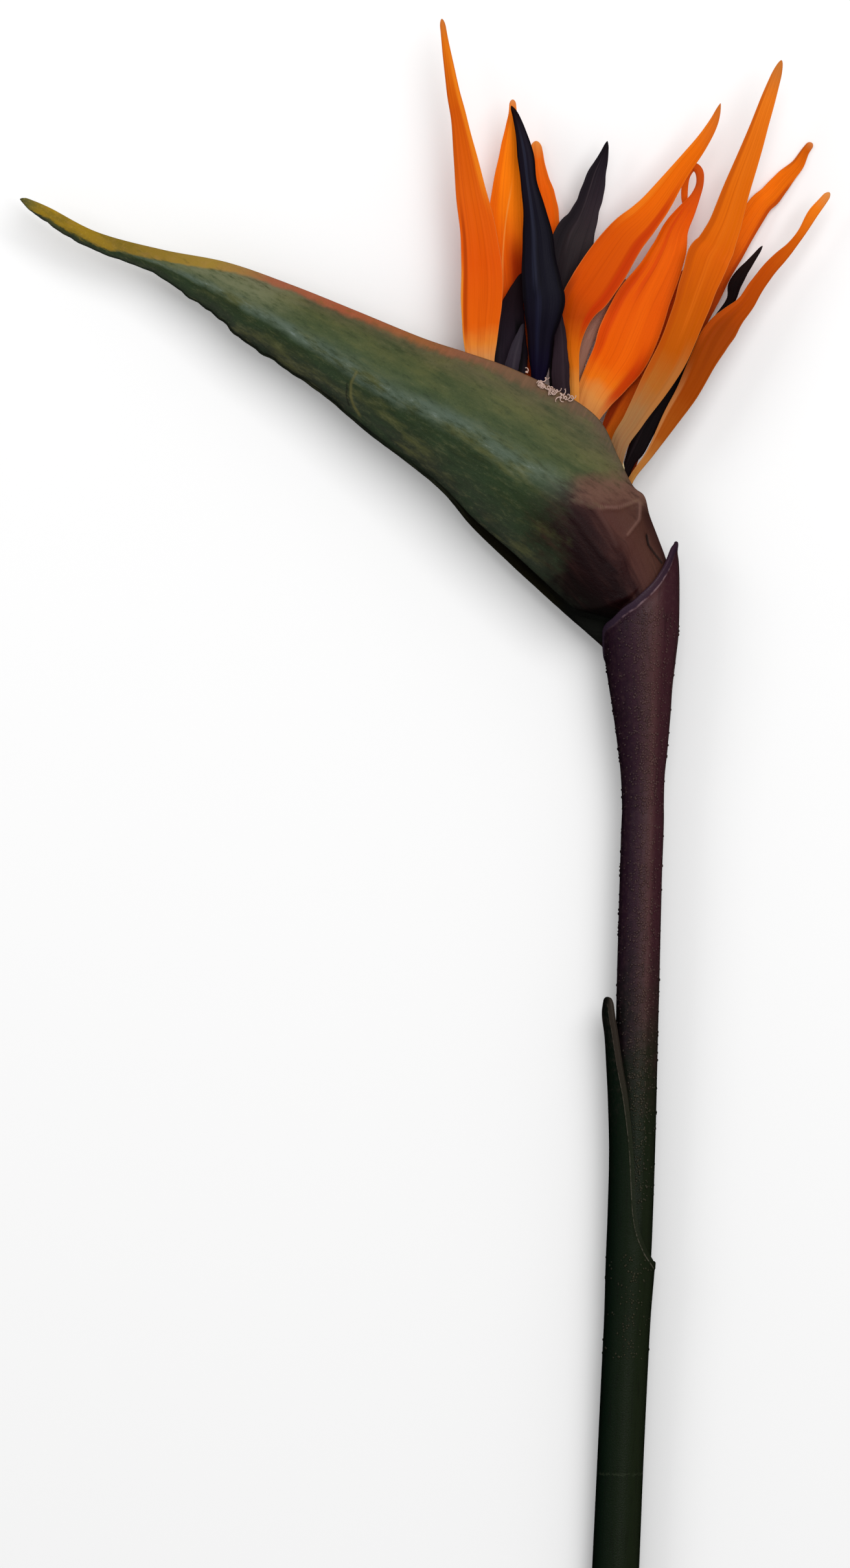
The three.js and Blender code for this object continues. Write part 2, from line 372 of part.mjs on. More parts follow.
// Sepals, petals and tongues, in stations [x, y, level, half width] from root to tip.
const BLADES = {
  sepal_1: {
    look: ORANGE, body: SEPAL_BODY, steps: 22, cup: 0.08, ridge: 0.6, ridgeAt: 1 / 3, lean: -0.12,
    stations: [
      [21, 114.4, 1, 1.3], [17.2, 121.6, 1.6, 2.2], [14.6, 130.7, 2.2, 3.7], [14.6, 140.2, 3.2, 4.9],
      [15.0, 150.5, 3.8, 5.6], [14.1, 162.4, 3.5, 4.9], [11.9, 176, 3, 3.9], [9.4, 191.2, 2.5, 2.4],
      [7.3, 201.5, 2, 1.7], [5.4, 213.5, 2, 1.0], [4.4, 220.2, 2, 0.5],
    ],
  },
  sepal_2: {
    look: ORANGE, body: SEPAL_BODY, steps: 18, cup: 0.1, ridge: 0.5, ridgeAt: 0,
    stations: [
      [24.8, 113.9, -1.6, 1.2], [25.2, 125, -2, 1.9], [24.3, 136.9, -2.2, 2.9], [23.1, 148.8, -2.5, 4.4],
      [22.1, 160.7, -2.5, 5.3], [21.9, 170.9, -2.4, 4.9], [22.3, 181.1, -1.8, 3.7], [22.8, 189.6, -1.2, 2.2],
      [23, 195, -1, 1.2], [23, 199.2, -1, 0.5],
    ],
  },
  sepal_3: {
    look: ORANGE, body: SEPAL_BODY, steps: 16, cup: 0.1, ridge: 0.4, ridgeAt: 0, lean: 0.15,
    stations: [
      [27.4, 113.9, -3.5, 1.2], [28.2, 128.4, -4, 1.9], [29.6, 143.7, -5, 2.9], [30.9, 157.2, -6.5, 4.2],
      [31.3, 166.6, -8, 4.2], [30.6, 174.2, -9.5, 3.6], [29.6, 181.5, -10.6, 2.3], [29.2, 188.8, -11, 0.6],
    ],
  },
  tongue_1: {
    look: NAVY, body: TONGUE_BODY, steps: 22, cup: -0.12, ridge: 0.8, ridgeAt: -1 / 3,
    stations: [
      [28.6, 113.9, 3, 1.1], [29.4, 123.3, 4, 1.5], [30.1, 130.1, 5.3, 2.7], [30.4, 136.9, 6.3, 3.6],
      [30.9, 142, 6.8, 4.9], [31.1, 146.5, 6.8, 5.5], [30.6, 150.5, 6.6, 5.2], [29.9, 157.2, 6, 4.5],
      [29.4, 164.1, 5.4, 3.9], [28.4, 170.9, 4.6, 2.8], [27.2, 177.7, 4, 2.1], [26.4, 184.5, 3.5, 2.2],
      [25, 190.7, 3, 1.4], [23.8, 194.7, 2.7, 0.9], [22.6, 197.4, 2.5, 0.35],
    ],
  },
  tongue_1_lobe: {
    look: DUSK, body: SEPAL_BODY, steps: 10, cup: 0.06,
    stations: [
      [24.5, 113.9, 0.9, 1.1], [22.8, 123.3, 0.3, 3.1], [22.3, 130.1, 0.2, 4.6], [22.3, 136.9, 0.5, 4.2],
      [22.6, 142.8, 0.9, 3.4], [24, 148.8, 1.3, 2], [25.5, 153.5, 1.5, 0.5],
    ],
  },
  tongue_1_fin: {
    look: DUSK, body: SEPAL_BODY, steps: 8, strips: 4,
    stations: [
      [22.8, 114.2, 3.6, 0.9], [22.1, 123.3, 3.8, 1.6], [22.8, 129.2, 4, 1.9], [24.3, 135.2, 3.7, 1.3],
      [25.8, 140.2, 3.5, 0.4],
    ],
  },
  tongue_2: {
    look: DUSK, body: 1.0, steps: 18, cup: 0.1, ridge: 0.6, ridgeAt: 0,
    stations: [
      [35, 104.8, -1.2, 1], [34.4, 123.3, -2, 1.7], [35, 136.9, -2.5, 2.6], [36, 148.8, -3, 4.2],
      [37.4, 157.2, -3, 5.6], [39.1, 163.2, -3, 5.4], [41.3, 167.5, -3, 4.1], [42.7, 171.2, -3, 3.4],
      [43.9, 175.1, -3, 3.1], [45.2, 179.7, -3, 2.4], [46.8, 184.1, -3, 1.4], [47.9, 188.4, -3, 0.35],
    ],
  },
  tongue_2_lobe: {
    look: DUSK, body: SEPAL_BODY, steps: 8, strips: 4,
    stations: [
      [36.4, 104.3, 3, 0.9], [36, 119.9, 3.9, 2], [35.5, 126.7, 4.3, 2.4], [35.5, 131.8, 4.4, 2],
      [35.4, 136.9, 4.4, 1.6], [34.9, 142, 4.4, 1.2], [34.2, 147.1, 4.4, 0.5],
    ],
  },
  sepal_4: {
    look: ORANGE, body: SEPAL_BODY, steps: 24, cup: 0.06, ridge: 0.5, ridgeAt: 0, lean: 0.08,
    stations: [
      [39.3, 103.9, 1.8, 0.9], [39.1, 119.9, 2.2, 1.3], [38.9, 127.5, 2.4, 1.6], [38.3, 133.5, 2.6, 2.4],
      [39.1, 140.3, 2.8, 3.6], [40.8, 145.6, 2.9, 5.3], [43.9, 149.9, 3, 6], [47.4, 155.4, 3, 6.1],
      [52.6, 163, 3, 5.3], [57.1, 167.4, 3, 4.4], [61.5, 172.6, 3, 3.6], [67.3, 180.9, 3, 2.5],
      [72, 187, 3, 1.9], [75.7, 193, 3, 1.2], [77.5, 198, 3, 0.35],
    ],
  },
  small_petal: {
    look: CREAM, body: 0.7, steps: 12, strips: 4,
    stations: [
      [38.2, 104.1, -1.1, 0.7], [39.2, 121.6, -1.3, 0.8], [40.6, 129.2, -1.2, 1.3], [42.3, 135.2, -1.1, 1.6],
      [44.2, 139.7, -1.1, 1.6], [47.3, 144.5, -1.1, 1], [50.7, 149.1, -1.1, 0.7], [52.7, 152, -1.1, 0.4],
    ],
  },
  sepal_5: {
    look: ORANGE, body: SEPAL_BODY, steps: 30, cup: 0.05, ridge: 0.4, ridgeAt: -1 / 3, wave: 0.25, waves: 3,
    stations: [
      [42.1, 103.5, 0, 1.1], [42, 113.5, 0, 3], [44.4, 121, 0.3, 5], [47.7, 126.5, 0.6, 6.3],
      [51.1, 132, 0.8, 7.3], [53.6, 137.7, 0.9, 7.8], [56.6, 144.8, 0.7, 7.3], [58.9, 149.3, 0.5, 6.5],
      [61.7, 154.4, 0.3, 5.4], [64, 159.5, 0, 4.6], [65.8, 164.8, -0.4, 3.4], [68.4, 169.4, -0.9, 2.5],
      [70.8, 173.4, -1.4, 1.4], [72.1, 177, -2, 1], [72, 180.3, -2.6, 1.1], [70.4, 181.6, -3.1, 1.1],
      [68.8, 179.3, -3.5, 0.9], [68.2, 175.5, -3.8, 0.9], [68.2, 171, -4, 0.8],
    ],
  },
  sepal_9: {
    look: ORANGE, body: SEPAL_BODY, steps: 12, cup: 0.06,
    stations: [
      [44.2, 103.3, -2.2, 1], [47.4, 110.5, -2.8, 2], [51.2, 117.3, -2.9, 3.1], [55.4, 125, -2.9, 4.1],
      [59.8, 134.3, -2.9, 4.4], [64.6, 144, -2.9, 3.9], [69, 152.2, -2.9, 2.6], [72.8, 157.6, -2.9, 0.8],
    ],
  },
  sepal_6: {
    look: ORANGE, body: SEPAL_BODY, steps: 26, cup: 0.08, ridge: 0.6, ridgeAt: 0, wave: 0.3, waves: 2.5,
    stations: [
      [49.1, 90.1, 3.6, 1.2], [50.3, 106.8, 4.2, 2.2], [54.7, 114.8, 4.8, 2.7], [59.8, 123.3, 5.1, 3.8],
      [63.8, 130.1, 5.2, 4.4], [66.8, 136.9, 5.3, 4.4], [69.4, 143.7, 5.4, 4.6], [71.1, 148.6, 5.5, 4.9],
      [72.8, 153.2, 5.5, 5.3], [74.4, 157.7, 5.6, 5.7], [76, 160.3, 5.6, 5.1], [77.3, 163, 5.7, 4.6],
      [79.2, 167.6, 5.7, 4.05], [82.3, 177, 5.8, 3.5],
      [86.2, 187.9, 6, 2.7], [88.4, 194.7, 6.2, 2.2], [90.8, 201.5, 6.4, 1.7], [93.4, 209.1, 6.6, 0.5],
    ],
  },
  sepal_7: {
    look: ORANGE, body: SEPAL_BODY, steps: 20, cup: 0.06, ridge: 0.4, ridgeAt: 0,
    stations: [
      [50.4, 90.7, -3, 1.2], [55.9, 109.7, -3.5, 2], [64.4, 128.4, -4.5, 3.1], [72.6, 144.5, -6, 3.4],
      [77.5, 153.9, -7, 3.1], [82.3, 162.4, -8.2, 3.3], [87.7, 171.2, -9.4, 3.1], [91.2, 174.8, -10, 2.8],
      [94.4, 178.5, -10.4, 2.4], [98, 182.4, -10.8, 1.7], [100.1, 186.1, -11, 1.1],
      [101.9, 188.3, -11.15, 0.5],
    ],
  },
  sepal_8: {
    look: ORANGE, body: SEPAL_BODY, steps: 26, cup: 0.06, ridge: 0.5, ridgeAt: 1 / 3, lean: 0.1,
    stations: [
      [52.4, 90.2, 2.1, 0.7], [53.7, 98.6, 2.3, 0.8], [59, 106.3, 2.8, 1.1], [64.9, 116.1, 3, 2.4],
      [69.4, 123.3, 3, 3], [73.4, 131.4, 3, 3.7], [75.5, 135.4, 2.8, 4.1], [77.9, 138.9, 2.5, 4],
      [80.7, 142, 2.2, 3.1], [84.2, 145.6, 1.8, 2.3], [87, 150.1, 1.4, 2.1], [89.8, 154, 1, 1.9],
      [93, 157.5, 0.6, 1.7], [96.1, 160.6, 0.3, 1.2], [98.9, 164.3, 0, 1.1], [101.8, 169.2, -0.5, 1.4],
      [104.5, 172.7, -0.8, 1.1], [106.2, 174.8, -1, 0.5],
    ],
  },
  tongue_3: {
    look: DUSK, body: 1.0, steps: 18, cup: 0.08,
    stations: [
      [50, 90.3, 0, 0.9], [53.2, 102.5, 0.3, 1.3], [55.9, 108, 0.4, 2.2], [60.2, 116.5, 0.2, 2.4],
      [65.6, 125.8, -0.3, 2], [70.7, 133.5, -0.8, 1.6], [76, 140.3, -1.2, 1.3], [80.1, 146.2, -1.4, 1.2],
      [81.3, 150.5, -1.4, 1.7], [83.5, 154, -1.4, 1.4], [85.7, 156.9, -1.4, 0.9], [88.6, 160.8, -1.4, 0.35],
    ],
  },
  tongue_3_chip: {
    look: CREAM, body: 0.7, steps: 6, strips: 4,
    stations: [
      [50.7, 90.4, 1.8, 0.6], [51.1, 96, 1.8, 0.8], [51.4, 101.5, 1.7, 1], [51.3, 104.8, 1.6, 0.4],
    ],
  },
};

const flower = new THREE.Group();
flower.add(
  piece('scape', scape(), STALK),
  piece('lower_sheath', lowerSheath(), MOSS),
  piece('collar_sheath', collar(), PLUM),
  piece('spathe', spathe(), LEAF),
  ...Object.entries(FLORET_FEET).map(([name, stations]) => piece(name, floretFoot(stations), PULP)),
  ...Object.entries(BLADES).map(([name, shape]) => piece(name, blade(shape), shape.look)),
);

export default flower;
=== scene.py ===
import bpy
import numpy as np
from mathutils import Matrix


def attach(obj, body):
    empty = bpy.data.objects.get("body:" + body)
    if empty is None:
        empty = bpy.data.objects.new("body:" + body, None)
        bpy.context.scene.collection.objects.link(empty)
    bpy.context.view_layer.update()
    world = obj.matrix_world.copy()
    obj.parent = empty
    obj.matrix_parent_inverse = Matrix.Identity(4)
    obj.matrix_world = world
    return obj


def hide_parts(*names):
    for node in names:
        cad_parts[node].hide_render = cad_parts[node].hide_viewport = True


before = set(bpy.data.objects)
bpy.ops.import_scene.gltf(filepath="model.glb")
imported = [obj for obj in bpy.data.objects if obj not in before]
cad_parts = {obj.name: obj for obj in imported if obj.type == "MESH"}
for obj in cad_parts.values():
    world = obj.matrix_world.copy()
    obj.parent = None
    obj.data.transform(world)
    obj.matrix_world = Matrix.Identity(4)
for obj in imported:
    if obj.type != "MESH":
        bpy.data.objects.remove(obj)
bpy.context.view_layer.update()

# The view. The cut flower lies on its side, and the camera looks straight down on it from far off
# through a long lens, so that the stalk rises up the picture.
MM = 0.001
PICTURE_HEIGHT = 2421  # rows of the full frame
PIXEL = 0.17 * MM  # one of them on the bloom's mid-plane
MID_PLANE = 11.5  # millimetres above the table, as are all levels below
VIEW_MIDDLE_Y = 19.465 * MM
LENS, SENSOR = 300, 36

view = bpy.data.cameras.new("view")
view.lens = LENS
view.sensor_width = SENSOR
view_distance = PICTURE_HEIGHT * PIXEL * LENS / SENSOR
view.clip_end = 2 * view_distance
camera = bpy.data.objects.new("view", view)
camera.location = (0, VIEW_MIDDLE_Y, MID_PLANE * MM + view_distance)
bpy.context.collection.objects.link(camera)
bpy.context.scene.camera = camera
bpy.context.scene.view_settings.view_transform = "Standard"

# The table and the light. The flower lies on a matt white table top. A broad soft panel lights it
# from beyond the bloom and from the right, and a pale room fills the shadows.
TABLE_SIZE = 6.0
TABLE_FINISH = {"Base Color": (0.97, 0.97, 0.97, 1), "Roughness": 0.9, "Specular IOR Level": 0.1}
ROOM_LIGHT = {"Color": (1, 1, 1, 1), "Strength": 0.46}
PANELS = {  # place, size, power
    "key_panel": [(0.42, 0.6, 1.35), 1.1, 14],
    "side_panel": [(-0.9, 0.5, 0.9), 0.6, 3],
}


def set_node(owner, name, settings):
    """Turns on an owner's nodes and sets the sockets of one of them."""
    owner.use_nodes = True
    for socket, value in settings.items():
        owner.node_tree.nodes[name].inputs[socket].default_value = value


bpy.ops.mesh.primitive_plane_add(size=TABLE_SIZE)
table = bpy.context.object
table.name = "table_top"
table.visible_glossy = False
matt_white = bpy.data.materials.new("matt_white_table")
set_node(matt_white, "Principled BSDF", TABLE_FINISH)
table.data.materials.append(matt_white)

room = bpy.data.worlds.new("pale_room")
set_node(room, "Background", ROOM_LIGHT)
bpy.context.scene.world = room
room.cycles_visibility.glossy = False

for name, (place, size, power) in PANELS.items():
    light = bpy.data.lights.new(name, "AREA")
    light.size = size
    light.energy = power
    panel = bpy.data.objects.new(name, light)
    panel.location = place
    panel.rotation_euler = (-panel.location).to_track_quat("-Z", "Y").to_euler()
    bpy.context.collection.objects.link(panel)

# The stalk, a round juicy stem, purple-brown near the bloom and dark green below. Its head bends over
# inside the spathe and carries the florets. Its skin is waxy, faintly ribbed and goose-pimpled.
CUT_Y, NECK_Y = -220.2, 40
CUT_AXIS_HEIGHT = 6.3
STALK = [  # x, y, radius
    [48.5, -220.0, 5.15], [50.1, -186.3, 5.05], [51.3, -159, 4.95], [52.5, -133.5, 4.95], [53.2, -119.9, 5],
    [54, -105.4, 5.35], [54.9, -77.4, 5.5], [55.6, -46.8, 5.55], [55.9, -33.2, 5.6], [56.6, -6, 5.55],
    [57.2, 12.35, 5.5], [57.15, 18, 4.6], [57.1, 24.7, 4.35], [56.9, 38.3, 5], [56.7, 48, 5.2],
    [56.6, 62, 5.2], [54.6, 73, 4.9], [49.6, 80.6, 4.2], [42.3, 86.7, 3.4], [34.7, 92.7, 2.6],
    [30.4, 96.1, 1.8],
]
STRAIGHT_ROWS = 11  # up to the collar
STALK_RINGS, STALK_SIDES = 300, 72
STALK_RIBS, RIB_HEIGHT = 17, 0.03
PIMPLE_SIDES = 7
PIMPLE_RINGS = [(1, -0.3), (0.9, 0.45), (0.55, 0.9)]  # shares of the radius and of the height
PIMPLE_TOP_TURN, PIMPLE_TURNS = 0.225, (-0.1, 0.6)
PIMPLE_STRIP, PIMPLE_FRINGE = 0.055, 0.12  # spreads of the turn
IN_STRIP, ALL_ROUND = 0.8, 0.2  # shares of the pimples
PIMPLE_RADII, PIMPLE_RISES = (0.2, 0.38), (0.55, 0.85)  # millimetres, and shares of the radius
PIMPLE_STRETCH = 1.2
CROWDING = 0.85  # below 1, they crowd towards the top
MOUTH_CLEARANCE, FAR_FROM_MOUTH = 2.2, 20


def follow(stations, at):
    """Values at the places given, in a table of rows [place, value, ...], smooth through each row."""
    table = np.array(stations, float)
    place, values = table[:, 0], table[:, 1:]
    last = len(table) - 1
    at = np.asarray(at, float)
    i = np.clip(np.searchsorted(place, at) - 1, 0, last - 1)
    before, after = np.maximum(i - 1, 0), np.minimum(i + 2, last)
    span = (place[i + 1] - place[i])[:, None]
    f = np.clip((at - place[i]) / span[:, 0], 0, 1)[:, None]
    start = (values[i + 1] - values[before]) / (place[i + 1] - place[before])[:, None] * span
    end = (values[after] - values[i]) / (place[after] - place[i])[:, None] * span
    rise = values[i + 1] - values[i]
    return values[i] + f * (start + f * (3 * rise - 2 * start - end + f * (start + end - 2 * rise)))


def sample(stations, shares):
    """Rows at shares from 0 to 1 of the way through a table, counted by rows and not by length."""
    numbered = [[i, *row] for i, row in enumerate(stations)]
    return follow(numbered, np.asarray(shares) * (len(stations) - 1))


def axis_height(y):
    """Height of the stalk's axis, which climbs from the cut end to the bloom's mid-plane."""
    climb = np.clip((y - CUT_Y) / (NECK_Y - CUT_Y), 0, 1)
    return CUT_AXIS_HEIGHT + (MID_PLANE - CUT_AXIS_HEIGHT) * climb


def layer(axis, angles, y, reach=0):
    """Points round the stalk's axis at angles and lengths, moved out by a reach. axis has rows
    [y, x, half width, half depth]."""
    x, width, depth = np.moveaxis(follow(axis, y.ravel()).reshape(*y.shape, 3), -1, 0)
    wide, deep = (width + reach) * np.cos(angles), (depth + reach) * np.sin(angles)
    return np.stack([x + wide, y, axis_height(y) + deep], -1)


def frames_along(centres):
    """Unit vectors to the right of and above each point of a run."""
    right = np.cross(np.gradient(centres, axis=0), [0, 0, 1])
    above = np.cross(right, np.gradient(centres, axis=0))
    return [v / np.linalg.norm(v, axis=1)[:, None] for v in (right, above)]


def shaped(name, points, faces, place):
    """A smooth piece from points in millimetres. place holds three numbers or arrays of them for
    the points, which the piece's material reads."""
    mesh = bpy.data.meshes.new(name)
    mesh.from_pydata((points.reshape(-1, 3) * MM).tolist(), [], faces)
    mesh.shade_smooth()
    place = np.stack([np.broadcast_to(part, points.shape[:-1]) for part in place], -1).astype(float)
    mesh.attributes.new("place", "FLOAT_VECTOR", "POINT").data.foreach_set("vector", place.ravel())
    piece = bpy.data.objects.new(name, mesh)
    bpy.context.collection.objects.link(piece)
    return piece


def loft(name, rings, place=(0, 0, 0), joined=False):
    """A closed piece through rings of an even number of points. Each ring runs from left to right
    over the top and back below. The ends are shut flat, or joined to each other."""
    rows, n = rings.shape[:2]
    j = np.arange(n)
    steps = np.arange(rows if joined else rows - 1)[:, None]
    near, far = steps * n, (steps + 1) % rows * n
    quads = np.stack([near + j, near + (j + 1) % n, far + (j + 1) % n, far + j], -1)
    faces = quads.reshape(-1, 4).tolist()
    if not joined:
        end = (rows - 1) * n
        pairs = [(i, i + 1, n - 2 - i, n - 1 - i) for i in range(n // 2 - 1)]
        faces += [face[::-1] for face in pairs]
        faces += [tuple(end + i for i in face) for face in pairs]
    return shaped(name, rings, faces, place)


def round_rings(stations, heights, ribs=0):
    """Rings round a run of rows [x, y, half width, half depth], with low ribs along it. Their
    place is the turn, a mouth far off and 1, which stands for no pimple."""
    centres = np.column_stack([stations[:, :2], heights])
    right, above = frames_along(centres)
    turns = 0.5 - np.arange(STALK_SIDES) / STALK_SIDES
    ribbed = RIB_HEIGHT * ribs * np.cos(STALK_RIBS * 2 * np.pi * turns)
    wide = (stations[:, 2:3] + ribbed) * np.cos(2 * np.pi * turns)
    deep = (stations[:, 3:4] + ribbed) * np.sin(2 * np.pi * turns)
    rings = centres[:, None] + wide[..., None] * right[:, None] + deep[..., None] * above[:, None]
    return rings, (turns, FAR_FROM_MOUTH, 1)


def pimples(piece, axis, count, top, end, seed, lean=0, mouth=None):
    """Fuses goose pimples into a piece, thickest along the middle of its upper side. They stand
    square on its skin or lean along it, and those of a wrap stay clear of its mouth. The third
    number of their place rises to 2 on their crowns."""
    rng = np.random.default_rng(seed)
    spread = np.where(rng.random(count) < IN_STRIP, PIMPLE_STRIP, PIMPLE_FRINGE)
    turn = PIMPLE_TOP_TURN + spread * rng.normal(size=count)
    turn = np.where(rng.random(count) < ALL_ROUND, rng.uniform(*PIMPLE_TURNS, count), turn)
    if mouth is not None:
        top = np.minimum(top, follow(mouth, (turn % 1) * 360)[:, 0] - MOUTH_CLEARANCE)
    y = end + (top - end) * rng.random(count) ** CROWDING
    angle = 2 * np.pi * turn
    feet = layer(axis, angle, y)
    out = np.column_stack([np.cos(angle), np.full(count, lean), np.sin(angle)])
    out /= np.linalg.norm(out, axis=1)[:, None]
    across = np.cross(out, [0, 1, 0])
    radius = rng.uniform(*PIMPLE_RADII, count)[:, None]
    height = radius * rng.uniform(*PIMPLE_RISES, count)[:, None]
    points = []
    along = PIMPLE_STRETCH * np.cross(across, out)
    for share, rise in PIMPLE_RINGS:
        for bearing in 2 * np.pi * np.arange(PIMPLE_SIDES) / PIMPLE_SIDES:
            reach = share * radius * (np.cos(bearing) * across + np.sin(bearing) * along)
            points.append(feet + reach + rise * height * out)
    points.append(feet + height * out)
    last, peak = (len(PIMPLE_RINGS) - 1) * PIMPLE_SIDES, len(PIMPLE_RINGS) * PIMPLE_SIDES
    one = [tuple(range(PIMPLE_SIDES))[::-1]]
    for k in range(PIMPLE_SIDES):
        step = (k + 1) % PIMPLE_SIDES
        for low in range(0, last, PIMPLE_SIDES):
            high = low + PIMPLE_SIDES
            one.append((low + k, low + step, high + step, high + k))
        one.append((last + k, last + step, peak))
    faces = [tuple(i * (peak + 1) + v for v in face) for i in range(count) for face in one]
    crown = np.repeat([1, 2], [last, peak + 1 - last])
    bumps = shaped(piece.name + "_bumps", np.stack(points, 1), faces, (turn[:, None], FAR_FROM_MOUTH, crown))
    with bpy.context.temp_override(active_object=piece, selected_editable_objects=[piece, bumps]):
        bpy.ops.object.join()


def tint(red, green, blue):
    """A colour from its screen values of 0 to 255."""
    shares = np.array([red, green, blue]) / 255
    linear = np.where(shares <= 0.04045, shares / 12.92, ((shares + 0.055) / 1.055) ** 2.4)
    return (*linear.tolist(), 1)


class Wire:
    """An output socket. Sums and products of wires and numbers add Math nodes."""

    def __init__(self, skin, socket):
        self.skin = skin
        self.socket = socket

    def math(self, operation, *values):
        return self.skin.node("Math", {"operation": operation}, dict(enumerate(values)))

    def __add__(self, other):
        return self.math("ADD", self, other)

    def __sub__(self, other):
        return self.math("SUBTRACT", self, other)

    def __rsub__(self, other):
        return self.math("SUBTRACT", other, self)

    def __mul__(self, other):
        return self.math("MULTIPLY", self, other)

    def __abs__(self):
        return self.math("ABSOLUTE", self)

    __radd__ = __add__
    __rmul__ = __mul__

    def axis(self, number):
        return self.skin.node("SeparateXYZ", {}, {0: self}, number)

    def step(self, low, high):
        """0 at low, 1 at high and smooth between, whichever of the two is larger."""
        ends = {0: self, 1: low, 2: high}
        if not isinstance(low, Wire) and low > high:
            ends = {0: self, 1: high, 2: low, 3: 1.0, 4: 0.0}
        return self.skin.node("MapRange", {"interpolation_type": "SMOOTHSTEP"}, ends)

    def noise(self, scale, detail=3, roughness=0.55):
        parts = {"Vector": self, "Scale": scale, "Detail": detail, "Roughness": roughness}
        return self.skin.node("TexNoise", {}, parts)

    def ramp(self, stops):
        """Screen colours, or plain levels, at shares from 0 to 1."""
        return self.skin.node("ValToRGB", {"stops": stops}, {0: self})

    def coats(self, *layers):
        """This colour with others laid over it. A layer is the share of it that shows and its colour."""
        tone = self
        for share, colour in layers:
            colour = colour if isinstance(colour, Wire) else tint(*colour)
            tone = self.skin.node("Mix", {"data_type": "RGBA"}, {0: share, 6: tone, 7: colour}, 2)
        return tone


class Skin:
    """A material with its nodes. Its keywords are values of the shader's own sockets."""

    def __init__(self, name, **sockets):
        self.material = bpy.data.materials.new(name)
        set_node(self.material, "Principled BSDF", {key.replace("_", " "): sockets[key] for key in sockets})
        self.tree = self.material.node_tree
        self.shader = self.tree.nodes["Principled BSDF"]

    def node(self, kind, settings={}, inputs={}, output=0):
        """Adds a node, sets it up and gives the wire from one of its outputs."""
        made = self.tree.nodes.new("ShaderNode" + kind)
        for key, value in settings.items():
            if key == "stops":
                self.set_stops(made.color_ramp.elements, value)
            else:
                setattr(made, key, value)
        for key, value in inputs.items():
            self.plug(made.inputs[key], value)
        return Wire(self, made.outputs[output])

    def plug(self, socket, value):
        if isinstance(value, Wire):
            self.tree.links.new(value.socket, socket)
        else:
            socket.default_value = value

    def set_stops(self, elements, stops):
        while len(elements) < len(stops):
            elements.new(1)
        for element, (position, value) in zip(elements, stops.items()):
            element.position = position
            element.color = tint(*value) if isinstance(value, tuple) else (value, value, value, 1)

    def place(self):
        """The three numbers that the mesh gives each point."""
        found = self.node("Attribute", {"attribute_name": "place"}, output=1)
        return [found.axis(i) for i in range(3)]

    def spot(self):
        """The point on the piece in millimetres."""
        metres = self.node("TexCoord", output=3)
        return self.node("VectorMath", {"operation": "SCALE"}, {0: metres, 3: 1 / MM})

    def paint(self, colour, height, depth=0.1, roughness=None):
        """Feeds the shader a colour, a relief of a depth in millimetres, and a roughness."""
        self.plug(self.shader.inputs["Base Color"], colour)
        if roughness is not None:
            self.plug(self.shader.inputs["Roughness"], roughness)
        relief = {"Strength": 1.0, "Distance": depth * MM, "Height": height}
        self.plug(self.shader.inputs["Normal"], self.node("Bump", {}, relief))


def drawn_out(u, t, seed):
    """Noise in lines along the length, from places across and along."""
    return u.skin.node("CombineXYZ", {}, {0: u, 1: t, 2: seed}).noise(1.0)


def dress(piece, skin, slot, *nodes):
    """Gives a piece its finish and puts it in the place of its plain solids."""
    piece.data.materials.append(skin.material)
    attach(piece, "root")
    if nodes:
        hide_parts(*nodes)


# Tones by the turn from the right hand, 0, over the top, 0.5, to the left, 1. They carry painted light:
# lighter towards the upper right as a painted sheen, with painted shade deepening to the left.
STEM_PURPLE = {
    0: (40, 22, 22), 0.06: (62, 42, 42), 0.11: (58, 28, 36), 0.28: (58, 28, 35), 0.38: (76, 46, 47),
    0.46: (64, 38, 42), 0.56: (50, 27, 38), 0.66: (38, 18, 31), 0.8: (33, 14, 27), 1: (20, 8, 17),
}
STEM_GREEN = {
    0: (20, 26, 14), 0.23: (26, 33, 18), 0.48: (22, 31, 16), 0.62: (15, 26, 13), 0.78: (8, 20, 11),
    1: (4, 12, 6),
}


def stem_skin(name, ior, purple):
    """A skin with its places and its tone, purple-brown near the bloom and dark green below, both
    with a painted sheen along the upper side, painted shade down the left and underneath, and
    painted glints on the crowns of the pimples."""
    skin = Skin(name, IOR=ior)
    turn, left, crown = skin.place()
    point = skin.spot()
    y = point.axis(1)
    round_top = abs(turn) * 2
    mottle = point.noise(0.8, 4, 0.65)
    height = y + (point.noise(0.1, 2) - 0.5) * 40 + (mottle - 0.5) * 18
    tone = round_top.ramp(STEM_GREEN).coats(
        (height.step(-70, -14), round_top.ramp(purple)),
        (mottle.step(0.45, 0.75) * height.step(-90, -20) * 0.2, (84, 62, 58)),
        (drawn_out(turn * 60, y * 0.12, 3).step(0.5, 0.72) * 0.3, (12, 8, 9)),
        # painted glints on the crowns of the pimples
        (crown.step(1.1, 2) * 0.13, (116, 98, 82)),
        # painted shade on the underside
        (turn.step(-0.02, -0.2) * 0.4, (14, 10, 10)),
    )
    return skin, turn, left, point, y, tone


def waxy(skin, point, tone):
    """The finish of a waxy stem: a fine grain over a slow unevenness."""
    grain = point.noise(2.6, 3) * 0.7 + point.noise(9, 2) * 0.3
    skin.paint(tone, grain, 0.12, point.noise(0.5, 3) * 0.2 + 0.24)


def cut_flesh(point, cut):
    """The layer of pale wet flesh at the cut end, dotted with the ends of its fibres."""
    return cut, point.noise(2.2, 2).step(0.5, 0.68).ramp({0: (146, 156, 98), 1: (86, 96, 48)})


